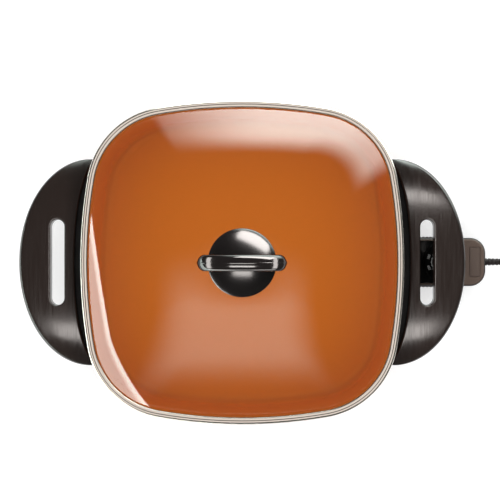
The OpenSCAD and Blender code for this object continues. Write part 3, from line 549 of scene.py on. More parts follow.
def arch_ring(deg):
    """One section of the arch, at an angle round its ellipse."""
    t = radians(deg)
    nx, nz = ARCH_B * cos(t), ARCH_A * sin(t)
    n = hypot(nx, nz)
    ring = []
    for i in arch_angles:
        a = radians(i)
        h = ARCH_T / 2 * spow(sin(a), ARCH_SQUARE) + (PARTING if i == 90 else 0)
        x = ARCH_A * cos(t) + h * nx / n
        z = ARCH_LOW + ARCH_B * sin(t) + h * nz / n
        r = ARCH_W / 2
        e = max(0, abs(x) - ARCH_LEN / 2 + r)
        half = r * sqrt(max(ARCH_SLIM, 1 - (e / r) ** 2))
        ring.append((x, half * spow(cos(a), ARCH_SQUARE), z + KNOB_Z))
    return ring


arch_rings = [arch_ring(-ARCH_END + (180 + 2 * ARCH_END) * i / ARCH_STEPS)
              for i in range(ARCH_STEPS + 1)]
knob_arch = make("knob_arch", skin(arch_rings), sharp=50)
print("knob height:", round(max(v.co.z for v in knob_arch.data.vertices) / MM, 1), "mm")

# %% [markdown]
# ## Grips
# Each grip is a wide crescent that hugs the rim: its inner edge follows the mouth's
# outline and its outer edge is half an oval. The section is a thin moulded channel
# with a rolled outer edge. A slot for the fingers goes right through, with a collar
# moulded round it, so the edge of the slot is rounded by a ring of its own.

# %% Crescent sections
REACH, HALF_LEN, OVAL_X = 224.5, 104.5, 154
GRIP_TOP, GRIP_T, GRIP_DROP, GRIP_THIN = 93, 16, 14, 0.25
GRIP_IN, GRIP_EDGE, GRIP_GAP, GRIP_TUCK, GRIP_WALL, CROWN = 2.2, 4, 16.7, 7.5, 3, 0.5
STATIONS, LAST_A = 100, 86
stations = [HALF_LEN * sin(radians(LAST_A * (2 * i / STATIONS - 1)))
            for i in range(STATIONS + 1)]


def near(y):
    """How near y is to a grip's ends, 0 to 1."""
    return (y / HALF_LEN) ** 2


def grip_x1(y):
    """The outer edge, half an oval."""
    return OVAL_X + (REACH - OVAL_X) * sqrt(1 - near(y))


def grip_top(y):
    """Height of the grip's shoulder."""
    return GRIP_TOP - GRIP_DROP * near(y) ** 2


def grip_under(y):
    """Height of the grip's open underside."""
    return grip_top(y) - GRIP_T * (1 - GRIP_THIN * near(y))


def grip_sizes(y):
    """Inner and outer edge, edge radii, wall and crown of the grip's section at y."""
    x0, x1 = outline_x(y, GRIP_GAP - GRIP_TUCK * near(y) ** 2), grip_x1(y)
    w = x1 - x0
    return (x0, x1, min(GRIP_IN, w / 6), min(GRIP_EDGE, w / 3), min(GRIP_WALL, w / 4),
            CROWN * min(1, w / 40))


def grip_height(x, y):
    """Height of the grip's top at a place."""
    x0, x1, q, r, wall, crown = grip_sizes(y)
    f = min(1, max(0, (x - x0 - q) / (x1 - x0 - q - r)))
    return grip_top(y) + crown * sin(pi * f)


def grip_section(y):
    """The section from its inner foot over the top to the outer foot and back inside."""
    x0, x1, q, r, wall, crown = grip_sizes(y)
    top, low = grip_top(y), grip_under(y)
    xs = [x0 + q + (x1 - x0 - q - r) * i / 14 for i in range(1, 14)]
    section = ([(x0 + 0.3, low), (x0, low + 0.3)] + bend(x0 + q, top - q, q, 180, 90, 6)
               + [(x, grip_height(x, y)) for x in xs] + bend(x1 - r, top - r, r, 90, 0, 10)
               + [(x1, low + 0.3), (x1 - 0.3, low), (x1 - wall, low), (x1 - wall, top - r),
                  (x1 - max(r, wall), top - wall), (x0 + wall, top - wall), (x0 + wall, low)])
    return [(x, y, z) for x, z in section]


print("grip width:", round(grip_x1(0) - outline_x(0, GRIP_GAP), 1), "mm")

# %% Slot and collar
SLOT_W, SLOT_LEN, SLOT_X, COLLAR_T, COLLAR_EDGE = 14.2, 86, 186, 2.4, 1.8
grip_low = grip_under(0)


def stadium(w, length, steps=20):
    """Plan of a slot with round ends."""
    r, h = w / 2, (length - w) / 2
    points = []
    for sign, a0 in ((1, 0), (-1, 180)):
        points += bend(0, sign * h, r, a0, a0 + 180, steps)
        points += [(-sign * r, sign * h - sign * 2 * h * i / 8) for i in range(1, 8)]
    return points


def slot_ring(grow, z=None, dip=0):
    """The slot's plan, grown, at a height or at a depth under the grip's top."""
    plan = [(x + SLOT_X, y) for x, y in stadium(SLOT_W + 2 * grow, SLOT_LEN + 2 * grow)]
    return [(x, y, grip_height(x, y) - dip if z is None else z) for x, y in plan]


channel = skin([grip_section(y) for y in stations])
hole = skin([slot_ring(COLLAR_EDGE, z=grip_low - 10), slot_ring(COLLAR_EDGE, z=GRIP_TOP + 5)])
collar_rings = [slot_ring(COLLAR_EDGE * (1 - sin(a)), dip=COLLAR_EDGE * (1 - cos(a)))
                for a in (radians(90 * i / 6) for i in range(7))]
collar_rings += [slot_ring(0, z=grip_low), slot_ring(0.1, z=grip_low - 4),
                 slot_ring(COLLAR_T, z=grip_low - 4), slot_ring(COLLAR_T, z=grip_low),
                 slot_ring(COLLAR_T, dip=1.2)]
collar = skin(collar_rings, closed=True)
grips = {}
for side, turn in SIDES:
    top = cut(make("channel", turn(channel)), make("slot_hole", turn(hole)))
    grips[side] = joined(side + "_grip", top, make("collar", turn(collar)))
print("grips:", {k: len(v.data.polygons) for k, v in grips.items()})

# %% [markdown]
# ## Leg frames
# A shelf closes each grip from below, a wall follows the pan's side, and two tapered
# legs stand under the ends. The legs are hollow and open towards the pan, as any
# moulding is. An arm from each leg reaches in to a boss under the pan.

# %% Shelf and wall
BASE_T, BASE_GAP, ARCH_Z, SEAM = 3, 5, 22, 0.2
SHELF_Z = grip_low - SEAM - 0.8 * BASE_T
WALL_H, WALL_STEPS = SHELF_Z - ARCH_Z, 60
WALL_SECTION = ((0.8, 0), (2.2, 0), (3, 0.8), (3, WALL_H), (0, WALL_H), (0, 0.8))


def shelf_shell():
    """The shelf under a grip, with its edge rolled below."""
    rings = []
    for y in stations:
        x0, x1, top = outline_x(y, BASE_GAP + BASE_T / 2), grip_x1(y), grip_under(y) - SEAM
        r = min(1.2, (x1 - x0) / 6)
        low = top - BASE_T
        section = ([(x0, low), (x0, top), (x1 - 0.3, top), (x1, top - 0.3)]
                   + bend(x1 - r, low + r, r, 0, -90, 4))
        rings.append([(x, y, z) for x, z in section])
    return skin(rings)


def wall_shell():
    """The wall along the pan's bowed side."""
    section = [(SIDE_R + BASE_GAP + o, ARCH_Z + z) for o, z in WALL_SECTION]
    angles = [radians(SIDE_A * (i / (WALL_STEPS / 2) - 1)) for i in range(WALL_STEPS + 1)]
    return skin([[(SIDE_C + r * cos(a), r * sin(a), z) for r, z in section] for a in angles])


print("shelf at", round(SHELF_Z, 1), "mm")

# %% Tapered legs
LEG_W, LEG_OUT, LEG_STEPS, LEG_CORNER = 32, 27, 12, 4
FOOT_W, FOOT_H, FOOT_ROLL = 21, 3, 0.8
LEG_X = outline_x(LEG_Y, BASE_GAP)
FOOT_X = LEG_X + 8


def leg_top(f):
    """Height of a leg's slanting top, a share f of the way from its inner side outwards."""
    inner, outer = (grip_under(LEG_Y + s * LEG_W / 2) - SEAM - BASE_T / 2 for s in (-1, 1))
    return inner + (outer - inner) * f


def leg_shell(side, pull, shift, low):
    """A tapered leg; pull draws it in all round, shift moves its top towards the pan."""
    rings = []
    for i in range(LEG_STEPS + 1):
        t = i / LEG_STEPS
        w, d = ((1 - t) * top + t * FOOT_W - 2 * pull for top in (LEG_OUT, LEG_W))
        cx = (1 - t) * (LEG_X + LEG_OUT / 2 - shift) + t * FOOT_X
        plan = rounded_rect(w, d, LEG_CORNER * (1 - t) + (FOOT_W / 2 - pull) * t, 8)
        rings.append([(cx + x, side * LEG_Y + y, (1 - t) * leg_top(0.5 + side * y / d) + t * low)
                      for x, y in plan])
    if not pull:
        rings.pop()
        for roll, z in ((0, low + FOOT_ROLL), (FOOT_ROLL, low)):
            plan = rounded_rect(FOOT_W - 2 * roll, FOOT_W - 2 * roll, FOOT_W / 2, 8)
            rings.append([(FOOT_X + x, side * LEG_Y + y, z) for x, y in plan])
    return skin(rings)


print("feet at", round(FOOT_X, 1), LEG_Y, "mm")

# %% Leg frames from their parts
GUARD_Z, GUARD_W = UNDER_Z + 8, 2 * (BLOCK_Y + 2.5)
ARM_Z, ARM_END, ARM_W = UNDER_Z - 4 - BASE_T, LEG_X + 6, 18
SLOT_GROW = COLLAR_T + 0.4
shelf_slot = skin([slot_ring(SLOT_GROW, z=60), slot_ring(SLOT_GROW, z=90)])
arm_x, arm_len = (PAN_SCREW_X + ARM_END) / 2, ARM_END - PAN_SCREW_X + ARM_W
frames = {}
for side, turn in SIDES:
    legs = [cut(make("leg", turn(leg_shell(s, 0, 0, FOOT_H))),
                make("leg_hollow", turn(leg_shell(s, BASE_T, 2 * BASE_T, FOOT_H + BASE_T))))
            for s in (-1, 1)]
    shelf = cut(make("shelf", turn(shelf_shell())), make("shelf_slot", turn(shelf_slot)))
    wall = make("wall", turn(wall_shell()))
    if side == "right":
        cut(wall, make("guard_gap", block(HALF + 8, 0, 10, GUARD_Z, 20, GUARD_W, 2)))
    arms = make("arms", *[turn(block(arm_x, s * LEG_Y, ARM_Z, ARM_Z + BASE_T, arm_len, ARM_W, 8.9))
                          for s in (-1, 1)])
    frames[side] = joined(side + "_base", *legs, shelf, wall, arms)
print("leg frames:", {k: len(v.data.polygons) for k, v in frames.items()})

# %% [markdown]
# ## Temperature control
# Two moulded shells meet at mid height and leave a fine seam. Ribs on both sides give
# the fingers a hold when the control is pulled out. The outer end is round in plan so
# that it doesn't catch. Each shell is one skin, from its inner face over the seam.

# %% Housing shells
FACE_X, CTRL_W, CTRL_Z, CTRL_H = 166, 50, 11, 34
CTRL_R, FACE_R, CTRL_EDGE, CTRL_T = 16, 4, 3.5, 2.2
CTRL_TOP, SPLIT_Z, SPLIT_GAP, SPLIT_ROLL = CTRL_Z + CTRL_H, CTRL_Z + CTRL_H / 2, 0.2, 0.25
FACE_SHARES = (0.04, 0.5, 0.92)


def housing_ring(pull, z, keep=1.0):
    """The housing's plan, drawn in all round; keep draws it towards its middle."""
    rr, qq = max(1, CTRL_R - pull), max(1, FACE_R - pull)
    x1, x0 = CONTROL_END - pull - rr, FACE_X + pull + qq
    y1, y0 = CTRL_W / 2 - pull - rr, CTRL_W / 2 - pull - qq
    mid = (CONTROL_END + FACE_X) / 2
    plan = (bend(x1, y1, rr, 0, 90, 12) + bend(x0, y0, qq, 90, 180, 12)
            + bend(x0, -y0, qq, 180, 270, 12) + bend(x1, -y1, rr, 270, 360, 12))
    return [(mid + (x - mid) * keep, y * keep, z) for x, y in plan]


def half_heights(sign):
    """Heights of the seam and of the flat end of a shell; +1 is the upper one."""
    return (SPLIT_Z + SPLIT_GAP, CTRL_TOP) if sign > 0 else (SPLIT_Z, CTRL_Z)


def housing_half(sign):
    """One shell of the housing."""
    split, end = half_heights(sign)
    r_in = max(1, CTRL_EDGE - CTRL_T)

    def rolled(t, r, deg):
        """A ring on a rolled edge of radius r, t inside the outer face."""
        a = radians(deg)
        return housing_ring(t + r - r * sin(a), end - sign * (t + r - r * cos(a)))

    rings = [housing_ring(CTRL_T + r_in, end - sign * CTRL_T, k) for k in FACE_SHARES]
    rings += [rolled(CTRL_T, r_in, 15 * i) for i in range(7)]
    rings += [housing_ring(CTRL_T, split), housing_ring(SPLIT_ROLL, split),
              housing_ring(0, split + sign * SPLIT_ROLL)]
    rings += [rolled(0, CTRL_EDGE, 90 - 11.25 * i) for i in range(9)]
    return skin(rings + [housing_ring(CTRL_EDGE, end, k) for k in FACE_SHARES[::-1]])


print("seam at", half_heights(1)[0], "mm")

# %% Ribs, and the shells with them
RIB_X, RIB_Y, RIB_PITCH, RIB_N, RIB_R, RIB_STOP = FACE_X + 18, CTRL_W / 2 - 0.4, 3.8, 6, 1.65, 6


def rib_shells(sign):
    """Half-round ribs on both sides, flat at the seam and domed at the other end."""
    seam, end = half_heights(sign)
    far = end - sign * RIB_STOP
    profile = [(0, seam), (RIB_R, seam), (RIB_R, far - sign * 1.5), (1.45, far - sign * 0.7),
               (0.9, far - sign * 0.2), (0, far)][::sign]
    return [turned(profile, (RIB_X + i * RIB_PITCH, s * RIB_Y, 0), steps=24)
            for s in (-1, 1) for i in range(RIB_N)]


upper_shell = make("upper_shell", housing_half(1), *rib_shells(1))
lower_shell = make("lower_shell", housing_half(-1), *rib_shells(-1))
print("housing faces:", len(upper_shell.data.polygons), len(lower_shell.data.polygons))

# %% [markdown]
# The face has holes for the two pins and the sensor tube, and the round end has one
# for the cord. The top takes the dial's shaft and the lamp under its window, and the
# screws sit in wells below. Booleans cut them, as drills and cores do in the mould.

# %% Openings in the shells
PIN_HOLE, SENSOR_HOLE, RELIEF_HOLE, SHAFT_HOLE, LAMP_HOLE, WELL_R = 4.3, 3.6, 3.9, 3.05, 1.6, 3
WINDOW_W, WINDOW_LEN, WINDOW_T = 11.5, 31, 0.9
WINDOW_X = CONTROL_END - 17 + WINDOW_W / 2
DIAL_X, DIAL_D, DIAL_H, DIAL_Z = 206, 42, 8, CTRL_TOP + 0.5
WELL_XS, WELL_Y, WELL_DEEP = (FACE_X + 32, CONTROL_END - 12), CTRL_W / 2 - 8, 2.6

for shell in (upper_shell, lower_shell):
    cut(shell, *[drill(r, FACE_X - 2, FACE_X + CTRL_T + 1, (0, y, ELEMENT_Z))
                 for r, y in ((PIN_HOLE, TERMINAL_Y), (PIN_HOLE, -TERMINAL_Y), (SENSOR_HOLE, 0))],
        drill(RELIEF_HOLE, CONTROL_END - CTRL_T - 1, CONTROL_END + 2, (0, 0, CORD_Z)))
pocket = block(WINDOW_X, 0, CTRL_TOP - WINDOW_T, CTRL_TOP + 3, WINDOW_W, WINDOW_LEN, 1.2, 0.1)
cut(upper_shell, make("pocket", pocket),
    *[drill(r, CTRL_TOP - 4, CTRL_TOP + 2, (x, 0, 0), "Z")
      for r, x in ((SHAFT_HOLE, DIAL_X), (LAMP_HOLE, WINDOW_X))])
cut(lower_shell, *[drill(WELL_R, CTRL_Z - 1, CTRL_Z + WELL_DEEP, (x, s * WELL_Y, 0), "Z")
                   for x in WELL_XS for s in (-1, 1)])
print("openings cut:", len(upper_shell.data.polygons), len(lower_shell.data.polygons))

# %% [markdown]
# ## Dial, window and a plate of painted shade
# The dial is a low disc with a knurled edge, marked with white arcs and plain
# temperature numbers. It turns on its own shaft, so it is a body of its own. Print
# has a thickness, however thin, so the marks are raised strips of a few hundredths.

# %% Dial
DIAL_R, DIAL_TOP = DIAL_D / 2, DIAL_Z + DIAL_H
KNURLS, KNURL_STEPS = 40, 6


def dial_ring(r, z, notch):
    """A ring of the dial; notch is how deep its knurls go."""
    ring = []
    for i in range(KNURLS * KNURL_STEPS):
        a = 2 * pi * i / (KNURLS * KNURL_STEPS)
        phase = (i % KNURL_STEPS) / KNURL_STEPS
        rr = r - notch * max(0, cos(2 * pi * phase)) ** 2
        ring.append((DIAL_X + rr * cos(a), rr * sin(a), z))
    return ring


dial_profile = (
    (3.2, DIAL_Z + 0.2, 0), (DIAL_R - 1.5, DIAL_Z + 0.2, 0), (DIAL_R - 1, DIAL_Z, 0),
    (DIAL_R - 0.4, DIAL_Z, 0.3), (DIAL_R, DIAL_Z + 0.4, 0.6), (DIAL_R, DIAL_TOP - 2.0, 0.6),
    (DIAL_R - 0.4, DIAL_TOP - 1.6, 0.3), (DIAL_R - 1.0, DIAL_TOP - 1.5, 0),
    (DIAL_R - 1.8, DIAL_TOP - 1.3, 0), (DIAL_R - 2.4, DIAL_TOP - 0.3, 0),
    (DIAL_R - 2.9, DIAL_TOP - 0.05, 0), (DIAL_R - 3.6, DIAL_TOP, 0), (10, DIAL_TOP, 0),
    (2, DIAL_TOP, 0))
dial_disc = make("dial_disc", skin([dial_ring(*row) for row in dial_profile]), sharp=45)
print("dial_disc:", len(dial_disc.data.polygons), "faces")

# %% Printed arc and ticks
MARK_Z, MARK_T = DIAL_TOP - 0.04, 0.07
ARC_R, ARC_HALF, TICK_HALF, LONG_TICK, SHORT_TICK = 11.6, 0.22, 0.16, 13.3, 12.8
MARK_FROM, MARK_TO, TICKS = 40, 320, 16
mark_corners = ((-1, MARK_Z), (-1, MARK_Z + MARK_T), (1, MARK_Z + MARK_T), (1, MARK_Z))


def arc_mark(r, half_w, a0, a1):
    """A printed arc as a thin raised strip."""
    n = round((a1 - a0) / 3)
    angles = [radians(a0 + (a1 - a0) * i / n) for i in range(n + 1)]
    edges = [(r + side * half_w, z) for side, z in mark_corners]
    return skin([[(DIAL_X + e * cos(a), e * sin(a), z) for e, z in edges] for a in angles])


def tick_mark(deg, r0, r1, half_w):
    """A printed tick along a radius."""
    c, s = cos(radians(deg)), sin(radians(deg))
    return skin([[(DIAL_X + r * c - side * half_w * s, r * s + side * half_w * c, z)
                  for side, z in mark_corners] for r in (r0, r1)])


marks = [arc_mark(ARC_R, ARC_HALF, MARK_FROM, MARK_TO)]
for i in range(TICKS + 1):
    deg = MARK_FROM + (MARK_TO - MARK_FROM) / TICKS * i
    marks.append(tick_mark(deg, ARC_R, SHORT_TICK if i % 2 else LONG_TICK, TICK_HALF))
dial_marks = make("dial_marks", *marks)
print("dial marks:", len(marks))

# %% Numbers
NUMBER_R, NUMBER_H = 15.4, 3.4
numbers = bmesh.new()
for text, deg in (("OFF", 22), ("200", 75), ("250", 117.5), ("300", 160), ("350", 202.5),
                  ("400", 245), ("450", 287.5)):
    font = bpy.data.curves.new("number_" + text, "FONT")
    font.body = text
    font.size = NUMBER_H * MM
    font.align_x, font.align_y = "CENTER", "CENTER"
    font.extrude = MARK_T / 2 * MM
    word = placed("number_" + text, font)
    a = radians(deg)
    word.location = Vector((BODY_X + DIAL_X + NUMBER_R * cos(a), NUMBER_R * sin(a),
                            MARK_Z + MARK_T / 2)) * MM
    word.rotation_euler = (0, 0, a - pi / 2)
    flat = settled(word)
    flat.transform(word.matrix_world)
    numbers.from_mesh(flat)
    bpy.data.objects.remove(word)
bmesh.ops.remove_doubles(numbers, verts=numbers.verts, dist=0.000001)
dial_numbers = placed("dial_numbers", mesh_of("dial_numbers", numbers))
print("dial number faces:", len(dial_numbers.data.polygons))

# %% [markdown]
# The window is a small panel let into the top over the lamp. A thin black plate round
# the dial paints the grip's shade there. Both are plain blocks with a fine edge.

# %% Window panel and painted-shade plate
PLATE_X0, PLATE_X1, PROUD = FACE_X + 3, DIAL_X + 23, 0.15
panel = block(WINDOW_X, 0, CTRL_TOP - WINDOW_T + 0.1, CTRL_TOP + PROUD, WINDOW_W - 1.1,
              WINDOW_LEN - 1.1, 1, 0.35)
# Painted shade: a black plate round the dial, where the grip's shadow falls.
plate = block((PLATE_X0 + PLATE_X1) / 2, 0, CTRL_TOP - 0.05, CTRL_TOP + PROUD,
              PLATE_X1 - PLATE_X0, CTRL_W - 6, 3, 0.05)
window_panel, shade_plate = make("window_panel", panel), make("shade_plate", plate)
print("plate length:", PLATE_X1 - PLATE_X0, "mm")

# %% [markdown]
# ## Strain relief and plug
# The relief is a rubber sleeve with grooves that let it bend in a long curve where
# the cord leaves the housing. The plug lies flat, with two flat blades. The sleeve is
# turned, and the plug is a row of sections, each with its width, height and corner.

# %% Sleeve
RELIEF_END, GROOVES = CONTROL_END + RELIEF_LEN, 4
relief_profile = [(r, CONTROL_END + x) for r, x in (
    (0, -4.2), (5.2, -4.2), (5.2, -2.4), (3.75, -2.3), (3.75, 0.3))]
for i in range(1, GROOVES + 1):
    x = CONTROL_END + i * RELIEF_LEN / (GROOVES + 1.5)
    r = 3.8 - 0.5 * (x - CONTROL_END) / RELIEF_LEN
    relief_profile += [(r, x - 0.15), (r - 0.15, x), (2.95, x + 0.1), (2.95, x + 1.1),
                       (r - 0.17, x + 1.2), (r - 0.02, x + 1.35)]
relief_profile += [(3.32, RELIEF_END - 0.5), (3.05, RELIEF_END), (0, RELIEF_END)]
relief = turned(relief_profile, (0, 0, CORD_Z), "X", 40)
relief_sleeve = make("relief_sleeve", relief, sharp=35)
print("relief grooves:", GROOVES)

# %% Plug
PLUG_X, PLUG_Y, PLUG_Z = RELIEF_END + 15, 22, 7.5
plug_sections = [(0.0, 7.2, 7.2, 3.5), (0.6, 8, 8, 3.9), (3, 9.4, 8.8, 4), (6, 12, 10, 4.6),
                 (10, 14.6, 12, 5), (14, 17, 13.4, 5)]
for y in (17, 19.5, 22, 24.5):
    w = 17 + (y - 14) * 0.6
    plug_sections += [(y - 0.5, w, 14.4, 4.8), (y - 0.3, w - 0.9, 13.6, 4.5),
                      (y + 0.5, w - 0.8, 13.6, 4.5), (y + 0.7, w + 0.2, 14.4, 4.8)]
plug_sections += [(28, 23.8, 15, 4.6), (32.6, 23.6, 15, 4.5), (33.6, 22.8, 14.4, 4.3),
                  (34, 21.8, 13.6, 4)]
plug_rings = [[(PLUG_X + x, PLUG_Y + y, PLUG_Z + z) for x, z in rounded_rect(w, t, r, 8)]
              for y, w, t, r in plug_sections]
plug_shell = make("plug_shell", skin(plug_rings), sharp=35)
print("plug:", len(plug_shell.data.polygons), "faces")

# %% [markdown]
# ## Finishes
# Several finishes share an effect: moulded grain, rubbed edges, metal flakes, drawn
# lines, painted shade in a groove and painted shade on steep sides. Each effect is a
# node group that gives a height or a mask. A material places it with its own values
# and keeps its shader to itself. Small helpers add the nodes and feed their inputs.

# %% Helpers for nodes
def feed(tree, target, value):
    """Links a socket to an input, or sets the input to a number or a colour."""
    if isinstance(value, bpy.types.NodeSocket):
        tree.links.new(value, target)
    else:
        target.default_value = (*value, 1) if isinstance(value, tuple) else value


def node(tree, kind, output, **inputs):
    """Adds a node, feeds its inputs by name and gives one of its outputs."""
    n = tree.nodes.new("ShaderNode" + kind)
    for label, value in inputs.items():
        feed(tree, n.inputs[label.replace("_", " ")], value)
    return n.outputs[output]


def maths(tree, operation, a, b):
    """A Math node between two sockets or numbers."""
    n = tree.nodes.new("ShaderNodeMath")
    n.operation = operation
    feed(tree, n.inputs[0], a)
    feed(tree, n.inputs[1], b)
    return n.outputs[0]


def mixed(tree, mask, a, b):
    """Mixes two colours by a mask."""
    n = tree.nodes.new("ShaderNodeMix")
    n.data_type = "RGBA"
    feed(tree, n.inputs[6], a)
    feed(tree, n.inputs[7], b)
    tree.links.new(mask, n.inputs[0])
    return n.outputs[2]


def new_group(name, outputs, **inputs):
    """An empty shader group: its tree, what is asked of it and what it gives."""
    group = bpy.data.node_groups.new(name, "ShaderNodeTree")
    for label, value in inputs.items():
        socket = group.interface.new_socket(name=label.replace("_", " "), in_out="INPUT",
                                            socket_type="NodeSocketFloat")
        socket.default_value = value
    for label in outputs:
        group.interface.new_socket(name=label, in_out="OUTPUT", socket_type="NodeSocketFloat")
    return (group, group.nodes.new("NodeGroupInput").outputs,
            group.nodes.new("NodeGroupOutput").inputs)


# %% Node groups
grain, ask, give = new_group("mould_grain", ["Height", "Tone"], Scale=900)
place = node(grain, "TexCoord", "Object")
feed(grain, give["Height"], node(grain, "TexNoise", "Fac", Vector=place, Detail=2,
                                 Scale=ask["Scale"]))
feed(grain, give["Tone"], node(grain, "TexNoise", "Fac", Vector=place, Detail=3,
                               Scale=maths(grain, "MULTIPLY", ask["Scale"], 0.02)))

wear, ask, give = new_group("rubbed_edges", ["Mask"], Start=0.52, End=0.6, Breakup=60)
edges = node(wear, "MapRange", "Result", Value=node(wear, "NewGeometry", "Pointiness"),
             From_Min=ask["Start"], From_Max=ask["End"])
patchy = node(wear, "TexNoise", "Fac", Vector=node(wear, "TexCoord", "Object"),
              Scale=ask["Breakup"], Detail=4)
feed(wear, give["Mask"], maths(wear, "MULTIPLY", edges, patchy))

flakes, ask, give = new_group("metal_flakes", ["Flake", "Cloud"], Scale=1500)
place = node(flakes, "TexCoord", "Object")
cells = node(flakes, "TexVoronoi", "Color", Vector=place, Scale=ask["Scale"])
feed(flakes, give["Flake"], node(flakes, "SeparateColor", "Red", Color=cells))
feed(flakes, give["Cloud"], node(flakes, "TexNoise", "Fac", Vector=place, Detail=4,
                                 Scale=maths(flakes, "MULTIPLY", ask["Scale"], 0.008)))

drawn, ask, give = new_group("drawn_lines", ["Height"], Scale=30, Across_X=1, Across_Z=40)
place = node(drawn, "SeparateXYZ", "X", Vector=node(drawn, "TexCoord", "Object")).node.outputs
lines = node(drawn, "CombineXYZ", 0, X=maths(drawn, "MULTIPLY", place["X"], ask["Across X"]),
             Y=place["Y"], Z=maths(drawn, "MULTIPLY", place["Z"], ask["Across Z"]))
feed(drawn, give["Height"], node(drawn, "TexNoise", "Fac", Vector=lines, Detail=5,
                                 Scale=ask["Scale"]))

# Painted shade: a mask for hollow creases, where a dark line is painted into the colour.
groove, ask, give = new_group("painted_groove_shade", ["Mask"], Start=0.505, End=0.475)
hollow = node(groove, "NewGeometry", "Pointiness")
feed(groove, give["Mask"], node(groove, "MapRange", "Result", Value=hollow,
                                From_Min=ask["Start"], From_Max=ask["End"]))

# Painted shade: a mask that darkens a colour where the face turns from level to steep.
steep, ask, give = new_group("painted_side_shade", ["Mask"], Level=0.9, Steep=0.7)
rise = node(steep, "SeparateXYZ", "Z", Vector=node(steep, "TexCoord", "Normal"))
feed(steep, give["Mask"], node(steep, "MapRange", "Result", Value=rise,
                               From_Min=ask["Level"], From_Max=ask["Steep"]))
print("groups:", [g.name for g in bpy.data.node_groups])

# %% [markdown]
# A material is one Principled shader. Plastics get grain, a little unevenness in
# their gloss and rubbed edges; metals get fine lines instead of the grain. No real
# surface is as even as a shader with plain numbers, so both vary their roughness.

# %% Making a material
looks = {}


def material(name, color, metallic=0.0, roughness=0.4, **sockets):
    """A material with one Principled shader; further sockets are set by name."""
    m = looks[name] = bpy.data.materials.new(name)
    m.use_nodes = True
    sockets.update(Base_Color=color, Metallic=metallic, Roughness=roughness)
    for label, value in sockets.items():
        feed(m.node_tree, shader_of(m.node_tree).inputs[label.replace("_", " ")], value)
    return m.node_tree


def shader_of(tree):
    """The Principled shader of a material's tree."""
    return tree.nodes["Principled BSDF"]


def place_group(tree, group, **values):
    """Puts a group into a material with its own values and gives its outputs."""
    n = tree.nodes.new("ShaderNodeGroup")
    n.node_tree = group
    for label, value in values.items():
        n.inputs[label.replace("_", " ")].default_value = value
    return n.outputs


def vary(tree, mask, a, b, tone, low, high, height, strength, depth):
    """A mask mixes two colours, a tone spreads the roughness and a height bumps the face."""
    shader = shader_of(tree).inputs
    feed(tree, shader["Base Color"], mixed(tree, mask, a, b))
    feed(tree, shader["Roughness"],
         node(tree, "MapRange", "Result", Value=tone, To_Min=low, To_Max=high))
    feed(tree, shader["Normal"],
         node(tree, "Bump", 0, Strength=strength, Distance=depth, Height=height))


def shade_where(name, group, colour):
    """Lays a colour over a material's base colour where a group's mask says."""
    tree = looks[name].node_tree
    base, mask = shader_of(tree).inputs["Base Color"], place_group(tree, group)["Mask"]
    feed(tree, base, mixed(tree, mask, base.links[0].from_socket, colour))


# %% Three kinds of finish
PLASTIC_BUMP, METAL_BUMP, FLAKE_BUMP = 0.25, 0.15, 0.06
LINES, FLAKES, RUBBED = 60, 1800, 1.15


def moulded(name, color, worn, roughness, grain_scale, depth, specular=0.5):
    """A moulded plastic with grain, a little unevenness and rubbed edges."""
    tree = material(name, color, 0, roughness, Specular_IOR_Level=specular)
    g = place_group(tree, grain, Scale=grain_scale)
    vary(tree, place_group(tree, wear)["Mask"], color, worn,
         g["Tone"], roughness - 0.05, roughness + 0.07, g["Height"], PLASTIC_BUMP, depth)


def metal(name, color, roughness, stretch, depth=0.00002):
    """A drawn or rolled metal with fine lines."""
    tree = material(name, color, 1, roughness)
    d = place_group(tree, drawn, Scale=LINES, Across_Z=stretch)
    vary(tree, place_group(tree, wear)["Mask"], color, tuple(min(1, c * RUBBED) for c in color),
         d["Height"], roughness - 0.05, roughness + 0.08, d["Height"], METAL_BUMP, depth)


def flaked(name, color, metallic, low, high, depth=0.00002):
    """A coating whose flakes vary its colour a little."""
    tree = material(name, color, metallic, high)
    f = place_group(tree, flakes, Scale=FLAKES)
    dark, light = (tuple(c * k for c in color) for k in (0.94, 1.06))
    vary(tree, f["Flake"], dark, light, f["Cloud"], low, high, f["Flake"], FLAKE_BUMP, depth)


print("bump strengths:", PLASTIC_BUMP, METAL_BUMP, FLAKE_BUMP)

# %% [markdown]
# The copper-coloured coating inside is a ceramic film with metal flakes in it. It is
# mostly lacquer, so the shader is only slightly metallic and rather rough, and the
# flakes change its colour by very little. The outside has a darker baked paint.

# %% Copper coating and paint
flaked("copper_coating", (0.66, 0.165, 0.017), 0.1, 0.3, 0.44)
flaked("copper_paint", (0.34, 0.085, 0.012), 0.25, 0.24, 0.38)
print("coppers:", list(looks))

# %% [markdown]
# The tempered glass bends and mirrors light as a solid shell does. Lamps can't be
# traced through it in a few samples, so a shadow ray passes as through a clear film.

# %% Tempered glass
tree = material("tempered_glass", (0.96, 0.985, 0.975), 0, 0.0, IOR=1.5, Transmission_Weight=1)
pick = tree.nodes.new("ShaderNodeMixShader")
for i, source in enumerate((node(tree, "LightPath", "Is Shadow Ray"), shader_of(tree).outputs[0],
                            node(tree, "BsdfTransparent", 0))):
    tree.links.new(source, pick.inputs[i])
tree.links.new(pick.outputs[0], tree.nodes["Material Output"].inputs["Surface"])
print("glass nodes:", len(tree.nodes))
